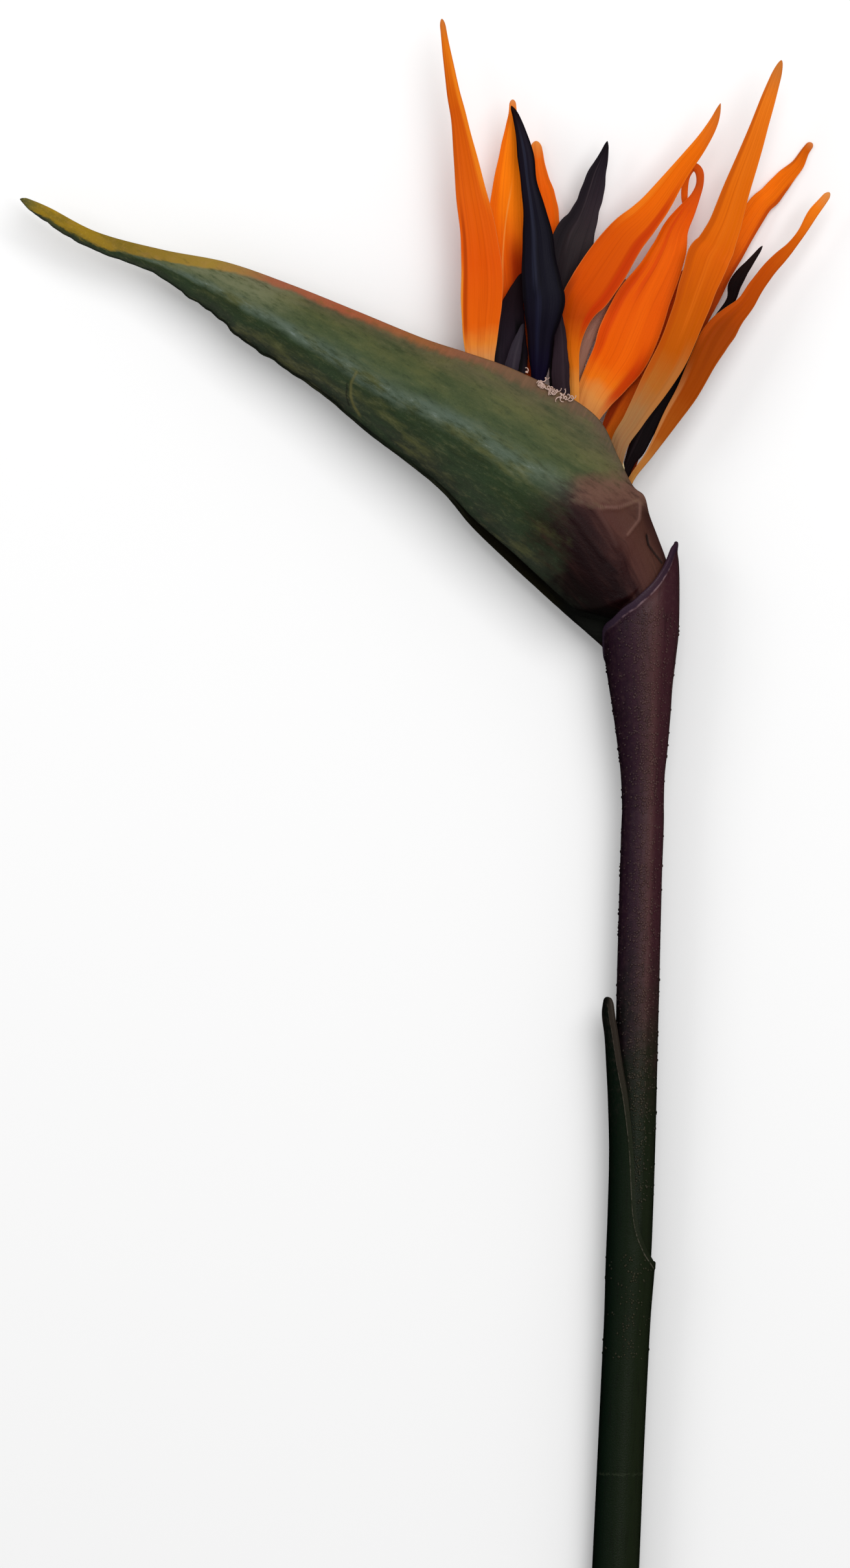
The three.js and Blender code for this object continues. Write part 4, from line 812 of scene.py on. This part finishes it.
def blade(
    name, stations, body, groove_depth, seed, cup=0, ridge=0, ridge_at=0, lean=0, wave=0, waves=0, folds=(),
):
    """A sepal or petal. folds holds the places across, heights and half widths of further creases.
    place is -1 to 1 across and 0 to 1 along."""
    rng = np.random.default_rng(seed)
    body_rows = np.linspace(0, 1 - TIP_SHARE, BLADE_ROWS)
    tip_rows = 1 - TIP_SHARE + TIP_SHARE * np.sin(np.linspace(0, np.pi / 2, BLADE_TIP_ROWS + 1)[1:])
    t = np.concatenate([body_rows, tip_rows])
    rows = sample(stations, t)
    centres = rows[:, :3] + [0, 0, MID_PLANE]
    right, above = frames_along(centres)
    t = t[:, None]
    past = np.clip((t - 1 + TIP_SHARE) / TIP_SHARE, 0, 1)
    narrowing = np.maximum(np.sqrt(1 - past ** 2), TIP_END)
    half = rows[:, 3:] * narrowing
    columns = np.linspace(-1, 1, BLADE_COLUMNS)
    columns = 0.5 * columns + 0.5 * np.sin(np.pi / 2 * columns)
    u = np.concatenate([columns, columns[-2:0:-1]])
    front = np.repeat([1, -1], [BLADE_COLUMNS, BLADE_COLUMNS - 2])
    fullness = np.minimum(1, half / FULL_HALF)
    off_ridge = np.sqrt((u - ridge_at) ** 2 + RIDGE_ROUND ** 2)
    relief = ridge * np.maximum(0, 1 - off_ridge / RIDGE_REACH)
    for at, high, wide in folds:
        relief = relief + high * np.exp(-(((u - at) / wide) ** 2))
    for groove, deep in GROOVES:
        drift = 0.5 * np.sin(rng.uniform(3, 7) * t + rng.uniform(0, 6)) + rng.uniform(0, 6)
        strength = 0.6 + 0.4 * np.sin(rng.uniform(6, 12) * t + rng.uniform(0, 6) + 3 * u)
        relief = relief + groove_depth * deep * strength * np.cos(np.pi * groove * u + drift)
    ripple = wave * u * np.abs(u) * np.sin(2 * np.pi * waves * t + u)
    lift = cup * half * u ** 2 + fullness * (relief * (1 - u ** 6) + ripple) + half * u * np.sin(lean)
    fray = sum(high * np.sin(turns * t + rng.uniform(0, 6) + u) for high, turns in FRAY)
    side = (half + fray * fullness * np.abs(u) ** 3) * u * np.cos(lean)
    thickness = BLADE_EDGE + (body - BLADE_EDGE) * (1 - u ** 2)
    lift = lift + front * thickness / 2 * np.sqrt(1 - np.abs(u) ** 12) * narrowing
    rings = centres[:, None] + side[..., None] * right[:, None] + lift[..., None] * above[:, None]
    return loft(name, rings, (u, t, 0))


def stroke(u, t, u0, t0, u1, t1, half):
    """A soft line drawn over a petal from (u0, t0) to (u1, t1), with t rising."""
    off = abs(u - (t - t0) * ((u1 - u0) / (t1 - t0)) - u0)
    drawn = t.step(t0 - STROKE_FADE, t0 + STROKE_FADE) * t.step(t1 + STROKE_FADE, t1 - STROKE_FADE)
    return off.step(half, 0.3 * half) * drawn


def petal_skin(name, seed, along, strokes, line, lining, margin, **sockets):
    """A petal's finish: colours along its length, soft strokes over them, fine lines from root to
    tip in a darker colour, and a thin pale margin. A stroke is its start and end across and
    along, its half width, colour and strength. Some strokes paint shade or sheen instead of the
    petal's own colour."""
    skin = Skin(name, **sockets)
    u, t = skin.place()[:2]
    broad = drawn_out(u * 2.5, t * 3, seed + 0.5)
    fine = drawn_out(u * 15, t * 1.6, seed + 9.5)
    finest = drawn_out(u * 40, t * 3, seed + 19.5)
    tone = (t + (skin.spot().noise(0.16, 2) - 0.5) * 0.05).ramp(along)
    for *path, colour, strength in strokes:
        tone = tone.coats((stroke(u + (broad - 0.5) * 0.16, t, *path) * strength, colour))
    tone = tone.coats(
        (broad.step(0.5, 0.78) * lining * 0.7, line),
        (fine.step(0.5, 0.72) * lining, line),
        (finest.step(0.5, 0.75) * lining * 0.7, line),
        (abs(u).step(0.95, 1.0) * 0.25, margin),
    )
    skin.paint(tone, fine * 0.6 + finest * 0.4, 0.09, broad * 0.16 + 0.36)
    return skin


def sepal(node, seed, stations, along, strokes, **form):
    """One sepal, from its rows [x, y, level off the mid-plane, half width]."""
    skin = petal_skin(node + "_satin", seed, along, strokes, **SEPAL_LOOK)
    dress(blade(node + "_blade", stations, seed=seed, **SEPAL_FORM, **form), skin, "sepal", node)


sepal("sepal_1", 0, [
    [21, 114.4, 1, 1.3], [17.2, 121.6, 1.6, 2.2], [14.6, 130.7, 2.2, 3.7], [14.6, 140.2, 3.2, 4.9],
    [15.0, 150.5, 3.8, 5.6], [14.1, 162.4, 3.5, 4.9], [11.9, 176, 3, 3.9], [9.4, 191.2, 2.5, 2.4],
    [7.3, 201.5, 2, 1.7], [5.4, 213.5, 2, 1.0], [4.4, 220.2, 2, 0.7],
], {
    0: (190, 130, 80), 0.2: (222, 150, 86), 0.245: (226, 128, 44), 0.3: (222, 92, 8), 0.45: (218, 82, 2),
    0.6: (214, 90, 8), 0.75: (202, 84, 3), 0.9: (226, 116, 14), 1: (206, 118, 50),
}, [
    (0.95, 0.58, 0.55, 0.88, 0.42, (240, 134, 26), 0.75),
    (-0.82, 0.26, -0.78, 0.56, 0.14, (166, 58, 2), 0.8), (-1.0, 0.2, -0.98, 0.44, 0.1, (228, 140, 40), 0.8),
    (-0.9, 0.6, -0.8, 0.95, 0.25, (180, 74, 4), 0.5),
], cup=0.08, ridge=0.6, ridge_at=1 / 3, lean=-0.12, folds=[(-0.85, 0.25, 0.1), (-0.3, 0.12, 0.12)])
sepal("sepal_2", 1, [
    [24.8, 113.9, -1.6, 1.2], [25.2, 125, -2, 1.9], [24.3, 136.9, -2.2, 2.9], [23.1, 148.8, -2.5, 4.4],
    [22.1, 160.7, -2.5, 5.3], [21.9, 170.9, -2.4, 4.9], [22.3, 181.1, -1.8, 3.7], [22.8, 189.6, -1.2, 2.2],
    [23, 195, -1, 1.2], [23, 199.2, -1, 0.8],
], {
    0: (150, 60, 10), 0.3: (210, 76, 4), 0.42: (240, 100, 8), 0.55: (255, 126, 10), 0.8: (255, 128, 12),
    0.93: (236, 122, 30), 1: (220, 136, 76),
}, [
    # The dark red second stroke, low on the right, is painted shade cast by tongue_1.
    (-0.8, 0.4, -0.8, 0.9, 0.35, (236, 100, 5), 0.7), (0.5, 0.28, 0.5, 0.44, 0.8, (176, 46, 0), 0.9),
    (-0.5, 0.36, 0.1, 0.6, 0.06, (255, 164, 74), 0.6),
], cup=0.1, ridge=0.5, folds=[(-0.5, 0.12, 0.15)])
sepal("sepal_3", 2, [
    [27.4, 113.9, -3.5, 1.2], [28.2, 128.4, -4, 1.9], [29.6, 143.7, -5, 2.9], [30.9, 157.2, -6.5, 4.2],
    [31.3, 166.6, -8, 4.2], [30.6, 174.2, -9.5, 3.6], [29.6, 181.5, -10.6, 2.3], [29.2, 188.8, -11, 1.2],
], {
    0: (190, 60, 0), 0.5: (220, 84, 2), 0.75: (238, 100, 6), 0.9: (232, 106, 16), 1: (226, 140, 60),
}, [
    (0.85, 0.5, 0.8, 0.95, 0.2, (214, 98, 18), 0.6),
], cup=0.1, ridge=0.4, lean=0.15)
sepal("sepal_4", 3, [
    [39.3, 103.9, 1.8, 0.9], [39.1, 119.9, 2.2, 1.3], [38.9, 127.5, 2.4, 1.6], [38.3, 133.5, 2.6, 2.4],
    [39.1, 140.3, 2.8, 3.6], [40.8, 145.6, 2.9, 5.3], [43.9, 149.9, 3, 6], [47.4, 155.4, 3, 6.1],
    [52.6, 163, 3, 5.3], [57.1, 167.4, 3, 4.4], [61.5, 172.6, 3, 3.6], [67.3, 180.9, 3, 2.5],
    [72, 187, 3, 1.9], [75.7, 193, 3, 1.2], [77.5, 198, 3, 0.35],
], {
    0: (206, 140, 60), 0.1: (216, 136, 56), 0.16: (214, 110, 18), 0.22: (204, 96, 6), 0.3: (176, 64, 2),
    0.4: (200, 72, 2), 0.55: (208, 80, 3), 0.7: (228, 98, 4), 0.85: (230, 106, 5), 1: (206, 112, 40),
}, [
    (0.78, 0.26, 0.7, 0.74, 0.34, (188, 44, 2), 0.75), (-0.85, 0.6, -0.8, 0.95, 0.3, (236, 120, 20), 0.7),
    (-0.8, 0.27, -0.9, 0.42, 0.3, (150, 52, 6), 0.6),
], cup=0.06, ridge=0.5, lean=0.08, folds=[(0.62, 0.2, 0.12), (-0.4, 0.12, 0.14)])
sepal("sepal_5", 4, [
    [42.1, 103.5, 0, 1.1], [42, 113.5, 0, 3], [44.4, 121, 0.3, 5], [47.7, 126.5, 0.6, 6.3],
    [51.1, 132, 0.8, 7.3], [53.6, 137.7, 0.9, 7.8], [56.6, 144.8, 0.7, 7.3], [58.9, 149.3, 0.5, 6.5],
    [61.7, 154.4, 0.3, 5.4], [64, 159.5, 0, 4.6], [65.8, 164.8, -0.4, 3.4], [68.4, 169.4, -0.9, 2.5],
    [70.8, 173.4, -1.4, 1.4], [72.1, 177, -2, 1], [72, 180.3, -2.6, 1.1], [70.4, 181.6, -3.1, 1.1],
    [68.8, 179.3, -3.5, 0.9], [68.2, 175.5, -3.8, 0.9], [68.2, 171, -4, 0.8],
], {
    0: (196, 124, 66), 0.07: (214, 142, 80), 0.11: (220, 140, 66), 0.155: (232, 112, 16), 0.2: (228, 90, 2),
    0.35: (224, 86, 2), 0.5: (230, 94, 6), 0.62: (222, 84, 4), 0.72: (196, 78, 18), 1: (226, 96, 8),
}, [
    (-0.85, 0.18, -0.75, 0.44, 0.22, (206, 60, 4), 0.75),
    # The last stroke here, on the right near the root, is a painted shadow along the lower right margin.
    (-0.3, 0.36, -0.4, 0.62, 0.16, (204, 56, 8), 0.55), (0.85, 0.1, 0.8, 0.24, 0.34, (186, 46, 1), 0.85),
    (0.2, 0.16, 0.1, 0.5, 0.3, (238, 100, 6), 0.5),
], cup=0.05, ridge=0.4, ridge_at=-1 / 3, wave=0.25, waves=3, folds=[(-0.72, 0.18, 0.1), (0.35, 0.15, 0.2)])
sepal("sepal_6", 5, [
    [49.1, 90.1, 3.6, 1.2], [50.3, 106.8, 4.2, 2.2], [54.7, 114.8, 4.8, 2.7], [59.8, 123.3, 5.1, 3.8],
    [63.8, 130.1, 5.2, 4.4], [66.8, 136.9, 5.3, 4.4], [69.4, 143.7, 5.4, 4.6], [71.1, 148.6, 5.5, 4.9],
    [72.8, 153.2, 5.5, 5.3], [74.4, 157.7, 5.6, 5.7], [76, 160.3, 5.6, 5.1], [77.3, 163, 5.7, 4.6],
    [79.2, 167.6, 5.7, 4.05], [82.3, 177, 5.8, 3.5], [86.2, 187.9, 6, 2.7], [88.4, 194.7, 6.2, 2.2],
    [90.8, 201.5, 6.4, 1.7], [93.4, 209.1, 6.6, 1.0],
], {
    0: (120, 84, 52), 0.06: (146, 108, 72), 0.13: (158, 112, 66), 0.18: (172, 100, 36), 0.26: (182, 84, 4),
    0.4: (198, 88, 3), 0.55: (214, 94, 5), 0.75: (220, 104, 8), 0.92: (230, 118, 24), 1: (196, 116, 50),
}, [
    (-0.85, 0.16, -0.8, 0.95, 0.3, (176, 70, 2), 0.6), (0.8, 0.12, 0.75, 0.26, 0.4, (176, 112, 56), 0.6),
    (0.05, 0.3, 0.1, 0.9, 0.16, (228, 112, 20), 0.3),
], cup=0.08, ridge=0.6, wave=0.3, waves=2.5, folds=[(-0.55, 0.16, 0.12), (0.5, 0.14, 0.12)])
sepal("sepal_7", 6, [
    [50.4, 90.7, -3, 1.2], [55.9, 109.7, -3.5, 2], [64.4, 128.4, -4.5, 3.1], [72.6, 144.5, -6, 3.4],
    [77.5, 153.9, -7, 3.1], [82.3, 162.4, -8.2, 3.3], [87.7, 171.2, -9.4, 3.1], [91.2, 174.8, -10, 2.8],
    [94.4, 178.5, -10.4, 2.4], [98, 182.4, -10.8, 1.7], [100.1, 186.1, -11, 1.1],
    [101.9, 188.3, -11.1, 0.9],
], {
    0: (120, 34, 0), 0.27: (136, 44, 2), 0.36: (196, 76, 4), 0.46: (224, 98, 6), 0.6: (236, 110, 6),
    0.8: (230, 108, 6), 0.92: (206, 94, 6), 1: (214, 130, 70),
}, [
    (0.95, 0.28, 0.9, 0.74, 0.3, (172, 60, 4), 0.75), (-0.8, 0.78, -0.85, 0.97, 0.35, (178, 80, 12), 0.7),
], cup=0.06, ridge=0.4)
sepal("sepal_8", 7, [
    [52.4, 90.2, 2.1, 0.7], [53.7, 98.6, 2.3, 0.8], [59, 106.3, 2.8, 1.1], [64.9, 116.1, 3, 2.4],
    [69.4, 123.3, 3, 3], [73.4, 131.4, 3, 3.7], [75.5, 135.4, 2.8, 4.1], [77.9, 138.9, 2.5, 4],
    [80.7, 142, 2.2, 3.1], [84.2, 145.6, 1.8, 2.3], [87, 150.1, 1.4, 2.1], [89.8, 154, 1, 1.9],
    [93, 157.5, 0.6, 1.7], [96.1, 160.6, 0.3, 1.2], [98.9, 164.3, 0, 1.1], [101.8, 169.2, -0.5, 1.4],
    [104.5, 172.7, -0.8, 1.1], [106.2, 174.8, -1, 0.8],
], {
    0: (176, 120, 66), 0.07: (186, 126, 60), 0.14: (158, 78, 16), 0.22: (148, 62, 2), 0.42: (150, 60, 3),
    0.5: (168, 66, 2), 0.65: (182, 72, 3), 0.8: (206, 92, 6), 0.9: (238, 122, 20), 1: (220, 146, 80),
}, [
    (-0.85, 0.02, -0.85, 0.24, 0.4, (196, 132, 76), 0.6), (-0.8, 0.34, -0.8, 0.66, 0.3, (188, 76, 6), 0.6),
    (0.2, 0.26, -0.1, 0.5, 0.3, (126, 46, 2), 0.35),
], cup=0.06, ridge=0.5, ridge_at=1 / 3, lean=0.1, folds=[(-0.35, 0.16, 0.12), (0.75, 0.14, 0.1)])
sepal("sepal_9", 8, [
    [44.2, 103.3, -2.2, 1], [47.4, 110.5, -2.8, 2], [51.2, 117.3, -2.9, 3.1], [55.4, 125, -2.9, 4.1],
    [59.8, 134.3, -2.9, 4.4], [64.6, 144, -2.9, 3.9], [69, 152.2, -2.9, 2.6], [72.8, 157.6, -2.9, 0.8],
], {
    0: (160, 70, 10), 0.12: (196, 96, 16), 0.3: (200, 84, 10), 0.5: (196, 66, 3), 1: (190, 70, 2),
}, [
    # A painted shadow on the left, where the margin of sepal_5 lies over this sepal.
    (-0.8, 0.05, -0.5, 0.5, 0.5, (124, 28, 1), 0.9),
], cup=0.06)

# The tongues, two fleshy petals joined into a dark blue arrow, with the brown-purple lobes and
# folds beside them. They are stiffer and smoother than the sepals.
TONGUE_GROOVE = 0.008
TONGUE_LOOK = {"line": (5, 3, 8), "lining": 0.4, "margin": (24, 16, 22), "IOR": 1.14}


def tongue(node, slot, seed, body, stations, along, strokes, **form):
    """One tongue, lobe or fin. body is its thickness down the middle."""
    skin = petal_skin(node + "_sheen", seed, along, strokes, **TONGUE_LOOK)
    dress(blade(node + "_blade", stations, body, TONGUE_GROOVE, seed, **form), skin, slot, node)


tongue("tongue_1", "tongue", 20, 1.2, [
    [28.6, 113.9, 3, 1.1], [29.4, 123.3, 4, 1.5], [30.1, 130.1, 5.3, 2.7], [30.4, 136.9, 6.3, 3.6],
    [30.9, 142, 6.8, 4.9], [31.1, 146.5, 6.8, 5.5], [30.6, 150.5, 6.6, 5.2], [29.9, 157.2, 6, 4.5],
    [29.4, 164.1, 5.4, 3.9], [28.4, 170.9, 4.6, 2.8], [27.2, 177.7, 4, 2.1], [26.4, 184.5, 3.5, 2.2],
    [25, 190.7, 3, 1.4], [23.8, 194.7, 2.7, 0.9], [22.6, 197.4, 2.5, 0.35],
], {
    0: (16, 10, 36), 0.12: (16, 10, 34), 0.2: (18, 14, 28), 0.4: (15, 13, 27), 0.6: (16, 14, 27),
    0.75: (24, 20, 33), 0.85: (26, 20, 31), 0.95: (22, 8, 10), 1: (40, 18, 14),
}, [
    # The two blue strokes are a painted sheen down the middle, and the near-black strokes at both edges are
    # painted shade.
    (-0.35, 0.42, -0.1, 0.85, 0.22, (34, 36, 54), 0.7), (-0.3, 0.15, -0.2, 0.4, 0.25, (24, 24, 46), 0.6),
    (0.95, 0.1, 0.95, 0.95, 0.3, (6, 3, 7), 0.8), (-0.98, 0.1, -0.98, 0.95, 0.2, (8, 4, 8), 0.8),
], cup=-0.12, ridge=0.8, ridge_at=-1 / 3)
tongue("tongue_1_lobe", "tongue_dusk", 21, 0.8, [
    [24.5, 113.9, 0.9, 1.1], [22.8, 123.3, 0.3, 3.1], [22.3, 130.1, 0.2, 4.6], [22.3, 136.9, 0.5, 4.2],
    [22.6, 142.8, 0.9, 3.4], [24, 148.8, 1.3, 2], [25.5, 153.5, 1.5, 0.5],
], {
    0: (42, 32, 44), 0.3: (40, 30, 40), 0.5: (30, 20, 30), 0.8: (26, 10, 16), 1: (22, 6, 10),
}, [
    (0.5, 0.2, 0.6, 0.62, 0.35, (4, 2, 3), 0.9), (-0.9, 0.3, -0.8, 0.5, 0.3, (12, 4, 8), 0.7),
], cup=0.06)
tongue("tongue_1_fin", "tongue_dusk", 22, 0.8, [
    [22.8, 114.2, 3.6, 0.9], [22.1, 123.3, 3.8, 1.6], [22.8, 129.2, 4, 1.9], [24.3, 135.2, 3.7, 1.3],
    [25.8, 140.2, 3.5, 0.4],
], {
    0: (50, 42, 54), 0.5: (44, 36, 46), 1: (50, 44, 52),
}, [
    (0.3, 0.2, 0.1, 0.95, 0.3, (64, 56, 64), 0.5),
])
tongue("tongue_2", "tongue_dusk", 23, 1.0, [
    [35, 104.8, -1.2, 1], [34.4, 123.3, -2, 1.7], [35, 136.9, -2.5, 2.6], [36, 148.8, -3, 4.2],
    [37.4, 157.2, -3, 5.6], [39.1, 163.2, -3, 5.4], [41.3, 167.5, -3, 4.1], [42.7, 171.2, -3, 3.4],
    [43.9, 175.1, -3, 3.1], [45.2, 179.7, -3, 2.4], [46.8, 184.1, -3, 1.4], [47.9, 188.4, -3, 0.35],
], {
    0: (24, 14, 18), 0.25: (36, 28, 32), 0.45: (48, 40, 42), 0.65: (46, 36, 42), 0.85: (34, 26, 34),
    1: (16, 10, 14),
}, [
    (-0.7, 0.3, -0.6, 0.96, 0.45, (22, 15, 22), 0.75), (-0.2, 0.4, -0.3, 0.9, 0.08, (66, 56, 60), 0.6),
], cup=0.1, ridge=0.6, folds=[(-0.4, -0.25, 0.18)])
tongue("tongue_2_lobe", "tongue_dusk", 24, 0.8, [
    [36.4, 104.3, 3, 0.9], [36, 119.9, 3.9, 2], [35.5, 126.7, 4.3, 2.4], [35.5, 131.8, 4.4, 2],
    [35.4, 136.9, 4.4, 1.6], [34.9, 142, 4.4, 1.2], [34.2, 147.1, 4.4, 0.5],
], {
    0: (40, 28, 32), 0.5: (42, 28, 36), 1: (30, 20, 26),
}, [
    (0.3, 0.2, 0.3, 0.8, 0.3, (54, 40, 46), 0.5),
])
tongue("tongue_3", "tongue_dusk", 25, 1.0, [
    [50, 90.3, 0, 0.9], [53.2, 102.5, 0.3, 1.3], [55.9, 108, 0.4, 2.2], [60.2, 116.5, 0.2, 2.4],
    [65.6, 125.8, -0.3, 2], [70.7, 133.5, -0.8, 1.6], [76, 140.3, -1.2, 1.3], [80.1, 146.2, -1.4, 1.2],
    [81.3, 150.5, -1.4, 1.7], [83.5, 154, -1.4, 1.4], [85.7, 156.9, -1.4, 0.9], [88.6, 160.8, -1.4, 0.35],
], {
    0: (20, 10, 12), 0.3: (12, 3, 5), 0.7: (16, 2, 2), 0.85: (26, 10, 8), 1: (38, 26, 26),
}, [
    (-0.4, 0.1, -0.5, 0.4, 0.2, (34, 22, 26), 0.6),
], cup=0.08)

# The small petals, thin soft scraps of petal, one pinkish and one cream. They grow from the florets'
# feet between the sepals and stay short.
SMALL_FORM = {"body": 0.6, "groove_depth": 0.03}
SMALL_LOOK = {"line": (110, 60, 44), "lining": 0.24, "margin": (200, 160, 140)}


def small_petal(node, seed, stations, along):
    """One small petal, from rows like a sepal's."""
    skin = petal_skin(node + "_skin", seed, along, (), **SMALL_LOOK)
    dress(blade(node + "_blade", stations, seed=seed, **SMALL_FORM), skin, "petal_cream", node)


small_petal("small_petal", 40, [
    [38.2, 104.1, -1.1, 0.7], [39.2, 121.6, -1.3, 0.8], [40.6, 129.2, -1.2, 1.3], [42.3, 135.2, -1.1, 1.6],
    [44.2, 139.7, -1.1, 1.6], [47.3, 144.5, -1.1, 1], [50.7, 149.1, -1.1, 0.7], [52.7, 152, -1.1, 0.4],
], {0: (150, 96, 60), 0.4: (150, 98, 76), 1: (160, 96, 74)})
small_petal("tongue_3_chip", 41, [
    [50.7, 90.4, 1.8, 0.6], [51.1, 96, 1.8, 0.8], [51.4, 101.5, 1.7, 1], [51.3, 104.8, 1.6, 0.4],
], {0: (190, 170, 120), 1: (226, 206, 160)})

# The florets' feet, thick pale flesh hidden in the spathe. Each grows from the stalk's head and
# carries the sepals and petals of its floret.
FLORET_FEET = {  # x, y, level off the mid-plane, half width, half depth
    "floret_foot_1": [
        [29.75, 96.8, 0, 1.6, 1.6], [27.6, 99.8, 0, 2, 2], [25.2, 108, 0, 3.8, 3.4],
        [25, 113.4, 0, 5.4, 4.4],
    ],
    "floret_foot_2": [
        [40, 94.8, 0, 1.8, 1.8], [38.9, 98.2, 0, 2.8, 2.6], [38.6, 100.2, 0.2, 3.8, 3.6],
        [39.1, 103.3, 0.4, 6.2, 4.6],
    ],
    "floret_foot_3": [
        [50.3, 87.4, 0.2, 1.7, 2.8], [50.5, 89.7, 0.4, 3.1, 4.8],
    ],
}
FOOT_RINGS = 24


def drifting(name, roughness, scale, tones):
    """A plain skin of two tones that drift into each other."""
    skin = Skin(name, Roughness=roughness)
    grain = skin.spot().noise(scale, 3)
    skin.paint(grain.ramp(tones), grain)
    return skin


skin = drifting("floret_foot_flesh", 0.5, 1.2, {0: (196, 188, 140), 1: (168, 160, 110)})
for node, stations in FLORET_FEET.items():
    rows = sample(stations, np.linspace(0, 1, FOOT_RINGS))
    flesh = loft(node + "_flesh", *round_rings(rows[:, [0, 1, 3, 4]], MID_PLANE + rows[:, 2]))
    dress(flesh, skin, "pulp", node)

# The dried threads, the white remains of the tissue that held the florets, curled on the spathe's
# rim where the tongues come out.
THREAD_LINE = [
    (26.4, 127.4, 7.3), (29.4, 125.4, 7.7), (31.4, 123.6, 8.1), (33.4, 122.0, 8.5), (36, 120.4, 8.7),
    (38.8, 119.4, 8.5),
]
THREADS, FIRST_THREADS = 22, 3
THREAD_ROOTS, FIRST_ROOTS = (0.3, 1), (0, 0.3)  # shares of the line, where the first few stand apart
THREAD_RADIUS, THREAD_SIDES, THREAD_RINGS = 0.18, 6, 40
THREAD_REACH = [(-2.2, 2.6), (-1.6, 2.2), (-0.2, 0.5)]
THREAD_TURNS, THREAD_CURL = (0.8, 2), (0.3, 0.7)
THREAD_SEED = 77

skin = drifting("dried_tissue", 0.8, 1.5, {0: (232, 206, 192), 1: (150, 112, 100)})
rng = np.random.default_rng(THREAD_SEED)
t = np.linspace(0, 1, THREAD_RINGS)
around = (np.pi - 2 * np.pi * np.arange(THREAD_SIDES) / THREAD_SIDES)[:, None]
for number in range(1, THREADS + 1):
    root = sample(THREAD_LINE, [rng.uniform(*(THREAD_ROOTS if number > FIRST_THREADS else FIRST_ROOTS))])[0]
    reach = np.array([rng.uniform(*span) for span in THREAD_REACH])
    turns = 2 * np.pi * (rng.uniform(*THREAD_TURNS) * t + rng.random())
    curl = rng.uniform(*THREAD_CURL) * np.sin(np.pi * t)
    swing = np.column_stack([curl * np.cos(turns), curl * np.sin(turns), 0.4 * curl * (1 + np.sin(turns))])
    centres = root + t[:, None] * reach + swing + [0, 0, MID_PLANE]
    right, above = frames_along(centres)
    thin = THREAD_RADIUS * np.sqrt(1 - 0.9 * t)[:, None, None]
    rings = centres[:, None] + thin * (np.cos(around) * right[:, None] + np.sin(around) * above[:, None])
    dress(loft(f"dried_thread_{number}", rings), skin, "petal_cream")
